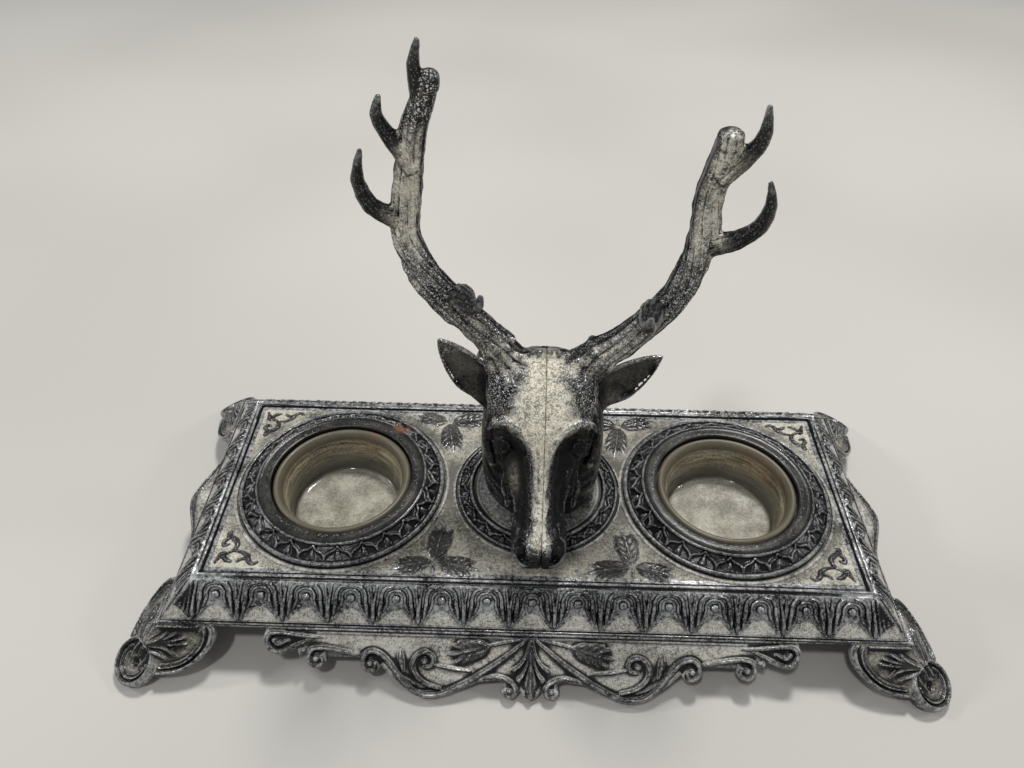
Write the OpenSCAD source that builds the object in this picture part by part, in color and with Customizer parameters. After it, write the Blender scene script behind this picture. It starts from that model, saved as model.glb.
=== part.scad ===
// Desk inkstand: a footed tray casting with two glass wells and a stag's head whose antlers hold the pens.
// The origin is on the table under the middle of the tray, X runs along the tray and -Y is the front.

/* [Tray] */
// Length of the flat deck between the border grooves
deck_w = 200; // [188:1:240]
// Depth of the flat deck between the border grooves
deck_d = 71.4; // [71:0.2:90]
// Height of the deck above the table
deck_h = 25.2; // [24.8:0.2:27]
// Thickness of the deck plate
deck_t = 3; // [2.4:0.2:4]
// Width of the raised border round the deck
border_w = 3.6; // [2.8:0.2:4.4]
// Height of the raised border
border_rise = 0.6; // [0.4:0.1:1]
// Run of the sloping frieze, from border to edge bead
frieze_run = 8.8; // [8.6:0.2:12]
// Drop of the sloping frieze
frieze_drop = 9.4; // [8.8:0.2:10]
// Height of the lip under the edge bead
lip_h = 1.6; // [1.2:0.2:2.4]
// Radius of the edge bead
edge_bead_r = 0.9; // [0.6:0.1:1.2]
// Wall of the frieze, measured level
frieze_wall = 3.4; // [2.6:0.2:4]

/* [Frieze leaves] */
// Spacing of the arched leaves along the frieze
leaf_pitch = 13.6; // [12:0.2:16]
// Radius of each leaf arch
arch_r = 3.5; // [3:0.1:4]
// Thickness of the raised lines of the ornament
relief_r = 0.6; // [0.4:0.1:0.8]
// Thickness of the large scrolls on the skirt
scroll_r = 1; // [0.8:0.1:1.2]

/* [Skirt and feet] */
// Slope of the skirt and feet below the level
skirt_slope = 42; // [40:1:44]
// Thickness of the skirt and feet plates
skirt_t = 2.6; // [2.2:0.2:3.2]
// Half the length of the front skirt
skirt_half = 80.6; // [74:0.2:84]
// Depth of the skirt at its swags, down the slope
skirt_drop = 19.7; // [18.4:0.1:20.4]
// Reach of the pointed lip at each end
end_lip = 6; // [4:0.5:8]
// Length of a foot's wing along the tray edge
wing_w = 16.4; // [15.6:0.2:17.4]
// Length of a foot's wing down the slope
wing_drop = 14; // [13:0.2:15]
// Radius of the scroll toe
toe_r = 7.6; // [7.2:0.1:8]
// Distance from the tray corner out to the middle of the toe
toe_out = 7.3; // [6.8:0.1:7.8]
// Height of the middle of the toe above the table
toe_z = 5.8; // [5.6:0.1:6.2]
// Lean of the toe out of the level
toe_tilt = 32; // [31:1:34]

/* [Wells] */
// Distance between the middles of the two wells
well_pitch = 128; // [120:1:132]
// Bore of the well mouth
mouth_d = 46.4; // [44:0.2:48]
// Outside diameter of the leaf collar
collar_d = 69.8; // [66:0.2:71]
// Height of the collar above the deck
collar_rise = 4.3; // [3.6:0.1:5]
// Height above the deck of the ledge that carries the glass
ledge_z = 0.8; // [0.4:0.1:1.4]
// Width of that ledge
ledge_w = 2.2; // [1.6:0.2:2.8]
// Number of tongues round a collar
tongues = 24; // [18:2:28]

/* [Ink cups] */
// Clearance between glass and iron, all round
cup_gap = 0.5; // [0.3:0.1:0.8]
// Thickness of the glass flange
flange_t = 1.8; // [1.4:0.1:2.2]
// Height of the glass rim above its flange
rim_h = 0.8; // [0.4:0.1:1.2]
// Depth of the cup below its flange
cup_depth = 15.4; // [12:0.2:20]
// Thickness of the cup wall at the top
glass_wall = 2; // [1.6:0.1:2.6]
// Thickness of the cup floor
glass_floor = 2.4; // [1.6:0.2:3.2]
// Gap under the flange, where the cup rests
rest_gap = 0.05; // [0.02:0.01:0.1]

/* [Medallion] */
// Outside diameter of the middle medallion
medallion_d = 54.6; // [52:0.2:56]
// Height of the seat for the neck above the deck
seat_rise = 1.2; // [0.8:0.1:1.8]
// Radius of the flat seat
seat_r = 21; // [20.4:0.1:22]
// Height of the bead round the seat
seat_bead = 1.2; // [0.8:0.1:1.6]

/* [Stag's head] */
// Radius of the neck at its foot
neck_r = 19.6; // [18.6:0.1:20]
// Distance of the head to the right of the middle of the tray
head_x = 1.3; // [0:0.1:2]
// Distance of the seam to the right of the middle of the head
seam_x = 0.8; // [0:0.1:1]
// Angle of the face above the level
face_angle = 53; // [50:1:56]
// Distance of the nose in front of the neck's middle
nose_out = 38.6; // [36:0.2:40]
// Height of the nose above the deck
nose_z = 11.2; // [10:0.2:13]
// Radius of the eyeballs
eye_r = 2.6; // [2.2:0.1:3]
// Distance between the eyes
eye_pitch = 23.4; // [22:0.2:24.6]
// Distance of the eyes up the face from the nose
eye_s = 34; // [33:0.5:35]
// Width of the ears
ear_w = 13.8; // [12:0.2:15]
// Height of the left antler's tip above the deck
antler_h = 147.2; // [135:0.2:155]
// Depth of the grooves along the beams, as a share of their thickness
groove = 0.07; // [0:0.01:0.1]

/* [Fixings] */
// Distance of each head screw from the seam
screw_x = 9; // [8:0.5:11]
// Distance of the head screws behind the middle of the medallion
screw_y = 4; // [0:0.5:6]
// Diameter of the head screws
screw_d = 4; // [3:0.5:5]
// Length of the head screws under the head
screw_l = 14; // [12:1:18]
// Diameter of the screw heads
screw_head_d = 7.6; // [6.5:0.1:9]
// Height of the screw heads
screw_head_h = 2.6; // [2:0.1:3.2]
// Clearance of the screws in the deck
screw_gap = 0.3; // [0.2:0.05:0.5]
// Outside diameter of the washers
washer_d = 10; // [9:0.5:12]
// Thickness of the washers
washer_t = 1; // [0.8:0.1:1.4]
// Diameter of the dowels across the seam
dowel_d = 3; // [2.5:0.5:4]
// Length of the dowels across the seam
dowel_l = 12; // [10:1:14]
// Clearance of screws and dowels in the head
fit_gap = 0.03; // [0.02:0.01:0.05]

/* [Hidden] */
$fn = 48;
eps = 0.01;
iron = "#2b2d30";
iron_head = "#35363a";
bottle_glass = "#b9b79b";
bolt_steel = "#6d6e70";
brass = "#9b8147";

half_w = deck_w / 2;
half_d = deck_d / 2;
edge_x = half_w + border_w + frieze_run;
edge_y = half_d + border_w + frieze_run;
frieze_angle = atan2(frieze_drop, frieze_run);
frieze_len = sqrt(frieze_run * frieze_run + frieze_drop * frieze_drop);
well_x = well_pitch / 2;
collar_r = collar_d / 2;
mouth_r = mouth_d / 2;
ledge_r = mouth_r - ledge_w;
flange_r = mouth_r - cup_gap;
cup_r = ledge_r - cup_gap;
flange_z = ledge_z + rest_gap;
cup_bottom = flange_z - cup_depth;
seat_z = seat_rise;
boss_z = -deck_t;

// Helpers

function unit(v) = v / norm(v);
function xyz(p) = [p[0], p[1], p[2]];
function signed_pow(v, p) = sign(v) * pow(abs(v), p);

// Smooth curve through the rows of a list, where t counts rows
function smooth(p, t) =
    let (n = len(p) - 1, i = min(n - 1, max(0, floor(t))), f = t - i,
        a = p[max(0, i - 1)], b = p[i], c = p[i + 1], d = p[min(n, i + 2)])
    0.5 * (2 * b + (c - a) * f + (2 * a - 5 * b + 4 * c - d) * f * f
        + (3 * b - a - 3 * c + d) * f * f * f);

// Closed skin over rings that have the same number of points
module skin(rings) {
    n = len(rings);
    m = len(rings[0]);
    sides = [for (i = [0:n - 2], k = [0:m - 1])
        let (a = i * m + k, b = i * m + (k + 1) % m) each [[a, a + m, b], [b, a + m, b + m]]];
    polyhedron(points = [for (r = rings) each r],
        faces = concat([[for (k = [0:m - 1]) k]], [[for (k = [m - 1:-1:0]) (n - 1) * m + k]], sides));
}

// Round bar through [x, y, z, radius] rows, with lengthwise grooves
module branch(path, sides, steps, flutes, cut, side_dir) {
    n = (len(path) - 1) * steps;
    rows = [for (i = [0:n]) smooth(path, i / steps)];
    skin([for (i = [0:n])
        let (along = unit(xyz(rows[min(n, i + 1)]) - xyz(rows[max(0, i - 1)])),
            u = unit(cross(side_dir, along)), v = cross(along, u))
        [for (k = [0:sides - 1])
            let (a = 360 * k / sides, r = rows[i][3] * (1 - cut * (1 + cos(flutes * a))))
            xyz(rows[i]) + r * (cos(a) * u + sin(a) * v)]]);
}

module at(p) { translate(p) children(); }

module mirror_x() {
    children();
    mirror([1, 0, 0]) children();
}

module mirror_y() {
    children();
    mirror([0, 1, 0]) children();
}

// Tray casting

// Outline across the tray for a deck of the given half length, drawn inwards by the given wall
function tray_profile(half, wall, top, bottom) = [
    [-half - border_w + wall / 2, top], [half + border_w - wall / 2, top],
    [half + border_w + frieze_run - wall, -frieze_drop], [half + border_w + frieze_run - wall, bottom],
    [-half - border_w - frieze_run + wall, bottom], [-half - border_w - frieze_run + wall, -frieze_drop]];

module tray_block(wall, top, bottom) {
    intersection() {
        rotate([90, 0, 0])
            linear_extrude(height = 2 * edge_y + 2, center = true)
                polygon(tray_profile(half_w, wall, top, bottom));
        rotate([90, 0, 90])
            linear_extrude(height = 2 * edge_x + 2, center = true)
                polygon(tray_profile(half_d, wall, top, bottom));
    }
}

module edge_bead() {
    z = -frieze_drop;
    mirror_y()
        at([0, edge_y - edge_bead_r / 2, z])
            rotate([0, 90, 0])
                cylinder(r = edge_bead_r, h = 2 * edge_x - edge_bead_r, center = true, $fn = 16);
    mirror_x()
        at([edge_x - edge_bead_r / 2, 0, z])
            rotate([90, 0, 0])
                cylinder(r = edge_bead_r, h = 2 * edge_y - edge_bead_r, center = true, $fn = 16);
    mirror_x() mirror_y()
        at([edge_x - edge_bead_r / 2, edge_y - edge_bead_r / 2, z])
            sphere(r = edge_bead_r, $fn = 16);
}

// Leaf collar round a well, with the ledge for the glass
module collar() {
    rotate_extrude()
        polygon([[ledge_r, boss_z - 1], [ledge_r, ledge_z], [mouth_r, ledge_z], [mouth_r, collar_rise - 0.3],
            [mouth_r + 0.3, collar_rise], [mouth_r + 4, collar_rise], [mouth_r + 4.6, collar_rise + 0.4],
            [mouth_r + 5.4, collar_rise + 0.3], [mouth_r + 5.8, collar_rise - 0.5],
            [collar_r - 2.2, 1.2], [collar_r - 1.7, 1.8], [collar_r - 0.9, 1.8], [collar_r - 0.3, 1.2],
            [collar_r, 0], [collar_r, -1], [mouth_r + 1, boss_z - 1]]);
}

// Tongue of the collar, lying on the slope of the ring
module tongue(inner, outer, z_in, z_out) {
    lean = atan2(z_in - z_out, outer - inner);
    at([(inner + outer) / 2, 0, (z_in + z_out) / 2])
        rotate([0, 90 + lean, 0])
            rotate([0, 0, 45])
                cylinder(r1 = 1.5, r2 = 0.8, h = (outer - inner) * 0.9, center = true, $fn = 4);
}

module collar_tongues() {
    for (i = [0:tongues - 1])
        rotate([0, 0, 360 * (i + 0.5) / tongues])
            tongue(mouth_r + 5.8, collar_r - 2.2, collar_rise - 0.5, 1.2);
}

// Ring of the middle medallion and the flat seat for the neck
module medallion() {
    r = medallion_d / 2;
    rotate_extrude()
        polygon([[0, -1], [0, seat_z], [seat_r, seat_z], [seat_r + 0.2, seat_z + seat_bead],
            [seat_r + 1.1, seat_z + seat_bead], [seat_r + 1.6, seat_z + 0.6], [r - 1.6, 0.6],
            [r - 1.4, 1.1], [r - 0.5, 1.1], [r, 0.4], [r, -1]]);
}

// Small leaf lying on a slope, from its root to its tip along x
module leaf(length, width) {
    linear_extrude(height = 2 * relief_r, center = true)
        polygon([[0, 0], [0.28, 0.42], [0.52, 0.5], [0.78, 0.32], [1, 0], [0.78, -0.32], [0.52, -0.5],
            [0.28, -0.42]] * [[length, 0], [0, width]]);
}

// One arch of the frieze with its berry, and half of the leaf on each side
module frieze_leaf() {
    at([0, -frieze_len * 0.52, 0]) {
        rotate_extrude(angle = 180)
            translate([arch_r, 0]) circle(r = relief_r, $fn = 16);
        mirror_x()
            at([arch_r, 0, 0])
                rotate([90, 0, 0])
                    cylinder(r = relief_r, h = frieze_len * 0.26, $fn = 16);
        sphere(r = 1.4, $fn = 16);
    }
    at([leaf_pitch / 2, 0, 0])
        linear_extrude(height = 2 * relief_r, center = true)
            polygon([[-1.6, -0.6], [1.6, -0.6], [1.4, -frieze_len * 0.5], [0, -frieze_len * 0.82],
                [-1.4, -frieze_len * 0.5]]);
}

module frieze_row(edge, half) {
    count = floor(half / leaf_pitch);
    at([0, -edge, 0])
        rotate([frieze_angle, 0, 0])
            for (i = [-count:count])
                at([i * leaf_pitch, 0, 0]) frieze_leaf();
}

module frieze() {
    mirror_y()
        frieze_row(half_d + border_w, half_w + border_w - leaf_pitch / 2);
    mirror_x()
        rotate([0, 0, 90])
            frieze_row(half_w + border_w, half_d + border_w - leaf_pitch / 2);
}

// Plate on the skirt slope, drawn with x along the tray and y down the slope
module on_skirt(edge) {
    at([0, -edge, -frieze_drop])
        rotate([skirt_slope, 0, 0])
            translate([0, 0, -skirt_t])
                linear_extrude(height = skirt_t)
                    children();
}

// Lower edge of the skirt from its end to the middle, as shares of the half length and of the drop
SKIRT_EDGE = [[-0.99, -0.02], [-1, -0.22], [-0.985, -0.37], [-0.955, -0.44], [-0.915, -0.4],
    [-0.88, -0.36], [-0.868, -0.47], [-0.845, -0.4], [-0.8, -0.34], [-0.7, -0.33], [-0.62, -0.36],
    [-0.56, -0.44], [-0.5, -0.68], [-0.447, -0.89], [-0.391, -1], [-0.335, -0.995], [-0.26, -0.87],
    [-0.187, -0.74], [-0.15, -0.71], [-0.1, -0.73], [-0.06, -0.8], [0, -0.84]];
// Curls that hang from that edge, each with its radius
SKIRT_CURLS = [[-0.8, -0.44, 2.7], [-0.593, -0.47, 2.9], [-0.073, -0.86, 2.5]];
// Line of the large scroll, from its eye under the swag and up to the palmette
SCROLL = [[-0.36, -0.46, 0.5], [-0.385, -0.36, 0.6], [-0.43, -0.36, 0.7], [-0.463, -0.5, 0.8],
    [-0.43, -0.72, 0.9], [-0.36, -0.84, 1], [-0.27, -0.76, 1], [-0.18, -0.54, 0.9], [-0.09, -0.28, 0.8],
    [-0.015, -0.1, 0.6]];
// Line of the swag's rim, from the inner curl to the lowest point
SWAG_RIM = [[-0.6, -0.42, 1], [-0.54, -0.4, 0.9], [-0.49, -0.62, 0.9], [-0.44, -0.83, 0.9],
    [-0.385, -0.94, 0.9], [-0.33, -0.93, 0.8], [-0.26, -0.82, 0.5]];

function skirt_at(p) = [p[0] * skirt_half, p[1] * skirt_drop];
function on_scroll(rows) = [for (r = rows) [r[0] * skirt_half, r[1] * skirt_drop, 0, r[2] * scroll_r]];

module skirt_outline() {
    steps = 3;
    n = (len(SKIRT_EDGE) - 1) * steps;
    mirror_x() {
        polygon(concat([for (i = [0:n]) skirt_at(smooth(SKIRT_EDGE, i / steps))],
            [[0, 1], [-skirt_half * 0.99, 1]]));
        for (c = SKIRT_CURLS) translate(skirt_at(c)) circle(r = c[2]);
    }
    for (i = [-2:2])
        translate([i * skirt_drop * 0.075, -skirt_drop * (0.9 - 0.03 * i * i)])
            circle(r = skirt_drop * 0.09);
}

// Raised scrolls, curls and leaves on the skirt
module skirt_relief() {
    at([0, -edge_y, -frieze_drop])
        rotate([skirt_slope, 0, 0]) {
            mirror_x() {
                branch(on_scroll(SCROLL), 6, 2, 0, 0, [0, 0, 1]);
                branch(on_scroll(SWAG_RIM), 6, 2, 0, 0, [0, 0, 1]);
                for (c = SKIRT_CURLS)
                    at([c[0] * skirt_half, c[1] * skirt_drop, 0]) sphere(r = c[2] * 0.7, $fn = 16);
                at([-skirt_half * 0.945, -skirt_drop * 0.24, 0]) {
                    rotate_extrude() translate([3, 0]) circle(r = relief_r, $fn = 16);
                    sphere(r = 1.3, $fn = 16);
                }
                at([-skirt_half * 0.71, -skirt_drop * 0.28, 0])
                    rotate([0, 90, 0])
                        cylinder(r = relief_r, h = skirt_half * 0.19, center = true, $fn = 16);
                for (p = [[-0.16, -0.22, 152], [-0.22, -0.36, 186], [-0.52, -0.18, 260]])
                    at([p[0] * skirt_half, p[1] * skirt_drop, 0])
                        rotate([0, 0, p[2]]) leaf(6.6, 2.6);
            }
            for (a = [-64, -34, 0, 34, 64])
                at([0, -skirt_drop * 0.42, 0])
                    rotate([0, 0, a - 90])
                        translate([1.4, 0, 0]) leaf(skirt_drop * (0.5 - abs(a) * 0.0028), skirt_drop * 0.14);
            at([0, -skirt_drop * 0.1, 0])
                rotate([0, 90, 0])
                    cylinder(r = relief_r, h = 1.7 * skirt_half, center = true, $fn = 16);
        }
}

// Pointed lip in the middle of each end of the tray
module end_lip_plate() {
    arc_r = 22;
    rise = end_lip;
    at([edge_x, 0, -frieze_drop - lip_h])
        linear_extrude(height = lip_h + 0.6)
            polygon([for (s = [-1, 1]) each [for (i = [0:8])
                let (t = (s < 0) ? i / 8 : 1 - i / 8)
                [rise * (3 * t * t - 2 * t * t * t) * (0.8 + 0.2 * t), s * arc_r * (1 - t)]],
                [-2, arc_r], [-2, -arc_r]]);
}

// Edge of a foot's wing, as shares of its length along the tray and of its length down the slope
WING_EDGE = [[0.9, 0], [1, 0.14], [1, 0.36], [0.87, 0.57], [0.7, 0.78], [0.52, 0.92], [0.2, 1]];

// One wing of a foot on the front slope, drawn within a share of its length, raised by the given height
module wing_plate(inner, outer, low, high) {
    n = (len(WING_EDGE) - 1) * 3;
    lean = cos(skirt_slope);
    middle = [-wing_w * 0.3, -wing_drop * 0.42];
    edge = [for (i = [0:n])
        let (p = smooth(WING_EDGE, i / 3)) [-p[0] * wing_w, -p[1] * wing_drop]];
    rotate([skirt_slope, 0, 0])
        translate([0, 0, low])
            linear_extrude(height = high - low)
                difference() {
                    polygon(concat([for (p = edge) middle + outer * (p - middle)],
                        [[lean * wing_drop, -wing_drop], [0, 0]]));
                    if (inner > 0)
                        polygon(concat([for (p = edge) middle + inner * (p - middle)],
                            [[lean * wing_drop + 1, -wing_drop - 1], [1, 1], [-wing_w * 0.8, -0.5]]));
                }
}

module wing() {
    wing_plate(0, 1, -skirt_t, 0);
    wing_plate(0.86, 1, -1, 0.9);
    wing_plate(0.64, 0.74, -1, 0.6);
    rotate([skirt_slope, 0, 0])
        for (i = [-1:1])
            at([-wing_w * 0.02, -wing_drop * (0.34 + 0.08 * i), 0])
                rotate([0, 0, 160 + 26 * i]) leaf(wing_w * 0.34, wing_w * 0.13);
}

module at_toe() {
    at([toe_out, -toe_out, toe_z - deck_h + frieze_drop])
        rotate([0, 0, -45])
            rotate([0, toe_tilt, 0]) children();
}

// Round toe that faces up and outwards, with a double rim and a dimple
module toe() {
    at_toe() {
        difference() {
            translate([0, 0, -skirt_t]) cylinder(r = toe_r, h = skirt_t);
            translate([0, 0, 1.4]) sphere(r = 2.6, $fn = 24);
        }
        rotate_extrude() translate([toe_r - 0.9, 0]) circle(r = 0.9, $fn = 16);
        rotate_extrude() translate([toe_r - 3.2, 0]) circle(r = 0.6, $fn = 16);
    }
}

module foot() {
    at([edge_x, -edge_y, -frieze_drop]) {
        difference() {
            union() {
                wing();
                mirror([1, 1, 0]) wing();
            }
            at_toe() translate([0, 0, -skirt_t / 2]) cylinder(r = toe_r - 0.9, h = 9);
        }
        toe();
    }
}

module feet() {
    intersection() {
        mirror_x() mirror_y() foot();
        translate([0, 0, -deck_h / 2]) cube([2 * deck_w, 3 * deck_d, deck_h], center = true);
    }
}

module base_casting() {
    color(iron)
        translate([0, 0, deck_h])
            difference() {
                union() {
                    difference() {
                        tray_block(0, border_rise, -frieze_drop - lip_h);
                        tray_block(frieze_wall, -deck_t, -frieze_drop - lip_h - 1);
                        translate([-half_w, -half_d, 0]) cube([deck_w, deck_d, border_rise + 1]);
                    }
                    edge_bead();
                    mirror_x() at([well_x, 0, 0]) {
                        collar();
                        collar_tongues();
                    }
                    at([head_x, 0, 0]) medallion();
                    mirror_y() on_skirt(edge_y) skirt_outline();
                    mirror_y() skirt_relief();
                    frieze();
                    mirror_x() end_lip_plate();
                    feet();
                }
                mirror_x() at([well_x, 0, 0]) {
                    translate([0, 0, boss_z - 2]) cylinder(r = ledge_r, h = 40, $fn = 96);
                    translate([0, 0, ledge_z]) cylinder(r = mouth_r, h = 40, $fn = 96);
                }
                at([head_x, 0, 0]) mirror_x() at([screw_x, screw_y, boss_z - 1])
                    cylinder(d = screw_d + 2 * screw_gap, h = deck_t + 10);
            }
}

// Glass cups

module ink_cup() {
    inner = cup_r - glass_wall;
    floor_z = cup_bottom + glass_floor;
    top = flange_z + flange_t + rim_h;
    rotate_extrude($fn = 96)
        polygon([[0, cup_bottom + 0.5], [cup_r - 4, cup_bottom + 0.5], [cup_r - 3.4, cup_bottom],
            [cup_r - 1.6, cup_bottom], [cup_r - 0.8, cup_bottom + 0.8], [cup_r, flange_z],
            [flange_r - 0.3, flange_z], [flange_r, flange_z + 0.3], [flange_r, flange_z + flange_t],
            [flange_r - 0.6, top - 0.2], [flange_r - 1.1, top], [flange_r - 1.7, top - 0.3],
            [inner + 1, flange_z + 0.4], [inner + 0.8, flange_z - 3.6], [inner + 0.1, flange_z - 4.6],
            [inner, floor_z + 2.2], [inner - 0.6, floor_z + 0.6], [inner - 1.6, floor_z], [0, floor_z]]);
}

module left_ink_cup() {
    color(bottle_glass, 0.6) at([-well_x, 0, deck_h]) ink_cup();
}

module right_ink_cup() {
    color(bottle_glass, 0.6) at([well_x, 0, deck_h]) ink_cup();
}

// Stag's head

face_up = [0, cos(face_angle), sin(face_angle)];
face_out = [0, -sin(face_angle), cos(face_angle)];
nose = [0, -nose_out, nose_z];

function on_face(x, s, out) = nose + [x, 0, 0] + s * face_up + out * face_out;

// Rows up the face: distance from the nose, half width, height of the face line, depth to the jaw,
// and roundness over and under the widest line
FACE = [
    [-2.6, 3.6, -5, -8, 2, 2], [-1.4, 6.4, -2.6, -11, 2.2, 2], [2, 7.9, 0, -12.8, 2.4, 2.1],
    [6, 8.1, 0.9, -13.2, 2.3, 2.1], [11, 7.7, 0.5, -13.6, 1.9, 2.1], [17, 7.7, 0, -14.8, 1.6, 2.1],
    [23, 9.6, -0.2, -17.4, 1.5, 2.2], [29, 12, 0.2, -20.6, 1.6, 2.3], [34, 13.8, 1, -23.2, 1.9, 2.3],
    [39, 15.2, 2.2, -24.8, 2.4, 2.2], [45, 16.2, 2.8, -25, 2.7, 2.1], [51, 16.6, 2.6, -23, 2.7, 2],
    [56, 15.6, 1.8, -19, 2.4, 2], [60, 12.4, 0.4, -14, 2.2, 2], [63, 6.6, -2, -9, 2, 2]];
// Raised nose bridge that widens into the forehead: distance from the nose, half width, lift
BRIDGE = [[-3, 4, 0], [4, 3.6, 0.2], [9, 3.2, 0.5], [14, 2.3, 0.9], [20, 1.9, 1.2], [28, 1.9, 1.6],
    [33, 2.2, 1.8], [36.5, 3.6, 1.9], [39.5, 6.6, 1.8], [42, 9.6, 1.5], [45, 11.6, 1], [50, 12, 0.5],
    [56, 11, 0.1], [64, 9, 0]];
// Hollows and swellings of one side: distances across and from the nose, reaches across and along, height
FORMS = [[8.4, 36, 3.6, 4.4, -3.4], [5.2, 26.5, 2, 7, -1.3], [4.4, 15, 1.2, 5, -0.5],
    [13.4, 49, 2.6, 5, -1], [4.9, 1.6, 1.1, 1.5, -1.7], [6.6, 6.6, 1, 3.4, 0.9], [5, 9, 0.8, 3, -0.6],
    [3.2, 4.6, 1.4, 1.6, 0.7], [11, 29.5, 2, 4, 0.7], [0, 53, 5, 6, 0.5]];

function total(v, i = 0) = i < len(v) ? v[i] + total(v, i + 1) : 0;
function row_at(rows, s) = smooth(rows, lookup(s, [for (i = [0:len(rows) - 1]) [rows[i][0], i]]));

// Height of the sculpted relief over the plain face
function relief(x, s) =
    let (b = row_at(BRIDGE, s))
    b[2] / (1 + exp(3.4 * (abs(x) - b[1])))
    + total([for (f = FORMS) f[4] * exp(-pow((abs(x) - f[0]) / f[2], 2) - pow((s - f[1]) / f[3], 2))]);

// Point on the sculpted face
function on_skin(x, s, lift) =
    let (row = row_at(FACE, s), mid = row[2] - row[1] * 0.75)
    on_face(x, s, mid + (row[2] - mid) * pow(max(0, 1 - pow(abs(x) / row[1], row[4])), 1 / row[4])
        + relief(x, s) + lift);

module face() {
    sides = 48;
    rings = 34;
    last = len(FACE) - 1;
    skin([for (i = [0:rings])
        let (s = FACE[0][0] + (FACE[last][0] - FACE[0][0]) * i / rings, row = row_at(FACE, s),
            mid = row[2] - row[1] * 0.75)
        [for (k = [0:sides - 1])
            let (a = -360 * k / sides, up = sin(a) >= 0, p = 2 / (up ? row[4] : row[5]),
                reach = up ? row[2] - mid : mid - row[3], x = row[1] * signed_pow(cos(a), p))
            on_face(x, s, mid + reach * signed_pow(sin(a), p) + (up ? sqrt(sin(a)) * relief(x, s) : 0))]]);
}

// Rows up the neck: height above the deck, middle, half width, half depth
NECK = [[0, 3.8, 0.93, 0.9], [7, 3.8, 0.98, 0.97], [18, 3.8, 1, 0.98], [30, 3.9, 0.97, 0.93],
    [41, 4.2, 0.9, 0.8], [49, 4.2, 0.7, 0.56], [54, 3, 0.44, 0.32]];

module neck() {
    sides = 36;
    steps = 2;
    n = (len(NECK) - 1) * steps;
    skin([for (i = [0:n])
        let (row = smooth(NECK, i / steps))
        [for (k = [0:sides - 1])
            let (a = 360 * k / sides)
            [neck_r * row[2] * cos(a), row[1] + neck_r * row[3] * sin(a),
                seat_z + row[0] * (1 - seat_z / 60)]]]);
}

module bead_line(points, r) {
    for (i = [0:len(points) - 2])
        hull() {
            at(points[i]) sphere(r = r, $fn = 8);
            at(points[i + 1]) sphere(r = r, $fn = 8);
        }
}

// Brow, eyelids and eye of the half with positive x
module half_features() {
    eye_x = eye_pitch / 2;
    bead_line([on_skin(3.6, 37, 0), on_skin(6.6, 40.4, 0), on_skin(9.6, 42.4, -0.2),
        on_skin(12.4, 42.6, -1.1)], 1.1);
    bead_line([on_face(eye_x - 3.4, eye_s - 0.6, -3.4), on_face(eye_x - 2, eye_s + 1.6, -3),
        on_face(eye_x + 0.4, eye_s + 2.4, -3.4), on_face(eye_x + 2.2, eye_s + 1.4, -5.4)], 0.8);
    bead_line([on_face(eye_x - 3.2, eye_s - 1.2, -4), on_face(eye_x - 1.4, eye_s - 2.6, -4.4),
        on_face(eye_x + 1.6, eye_s - 2, -6)], 0.7);
    at(on_face(eye_x - 0.6, eye_s - 0.2, -4.8)) sphere(r = eye_r, $fn = 20);
}

// Rows along an ear: share of its length, half width, depth of the back and of the hollow
EAR = [[-0.1, 0.3, 0.36, 0.2], [0.1, 0.36, 0.36, 0.1], [0.32, 0.49, 0.34, -0.2], [0.56, 0.47, 0.28, -0.2],
    [0.8, 0.29, 0.2, -0.1], [0.94, 0.12, 0.1, 0], [1, 0.03, 0.03, 0.02]];

// Ear from its root to its tip, as a leaf that is hollow at the front
module ear(root, tip, width) {
    n = (len(EAR) - 1) * 2;
    along = unit(tip - root);
    back = [0, 1, 0];
    across = unit(cross(back, along));
    skin([for (i = [0:n])
        let (row = smooth(EAR, i / 2), middle = root + row[0] * (tip - root))
        [for (k = [0:11])
            let (a = 30 * k, depth = (sin(a) >= 0 ? row[2] : row[3]) * abs(sin(a)))
            middle + width * (row[1] * cos(a) * across + (sin(a) >= 0 ? depth : -depth) * back)]]);
}

// Rough ring round the foot of an antler
module burr(middle, along, r) {
    u = unit(cross([0, 1, 0], along));
    v = cross(along, u);
    for (a = [0:45:315])
        hull() {
            at(middle + r * (cos(a) * u + sin(a) * v)) sphere(r = 1.4, $fn = 8);
            at(middle + along * 1.4 + r * 0.86 * (cos(a + 20) * u + sin(a + 20) * v)) sphere(r = 1.2, $fn = 8);
        }
}

// Antlers as [x, y, height above the deck, radius] rows, beam first and then its points
LEFT_BEAM = [[-8.4, 2, 51.5, 7], [-12, 2, 59.9, 5.5], [-17, 3, 65.5, 4.8], [-22.9, 4, 71.6, 4.6],
    [-28.9, 5, 78.2, 4.5], [-33.6, 6.5, 85.2, 4.3], [-36.6, 8, 92.9, 4.3], [-35.7, 8, 102.1, 4.4],
    [-33.9, 6, 113.5, 4], [-31.8, 3, 124.2, 3.7], [-28.4, 0.6, 133, 3.1], [-26.8, -0.6, 138, 2.4]];
LEFT_POINTS = [
    [[-35.4, 7.6, 96, 3.2], [-39.2, 6.4, 98.6, 2.9], [-44, 3.4, 103.6, 2.4], [-45.8, 0, 112.6, 1.8],
        [-43.4, -3.6, 122, 0.7]],
    [[-32.8, 4.4, 113.4, 3], [-35, 3.2, 118.4, 2.5], [-38, 1, 124.4, 2], [-39.4, -1, 129.4, 1.6],
        [-37.9, -3, 134.6, 0.7]],
    [[-28.8, 1, 129.5, 2.6], [-29.6, 0, 134.4, 2.1], [-30, -1.8, 141, 1.6], [-28.4, -4, 147.2, 0.7]]];
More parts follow.
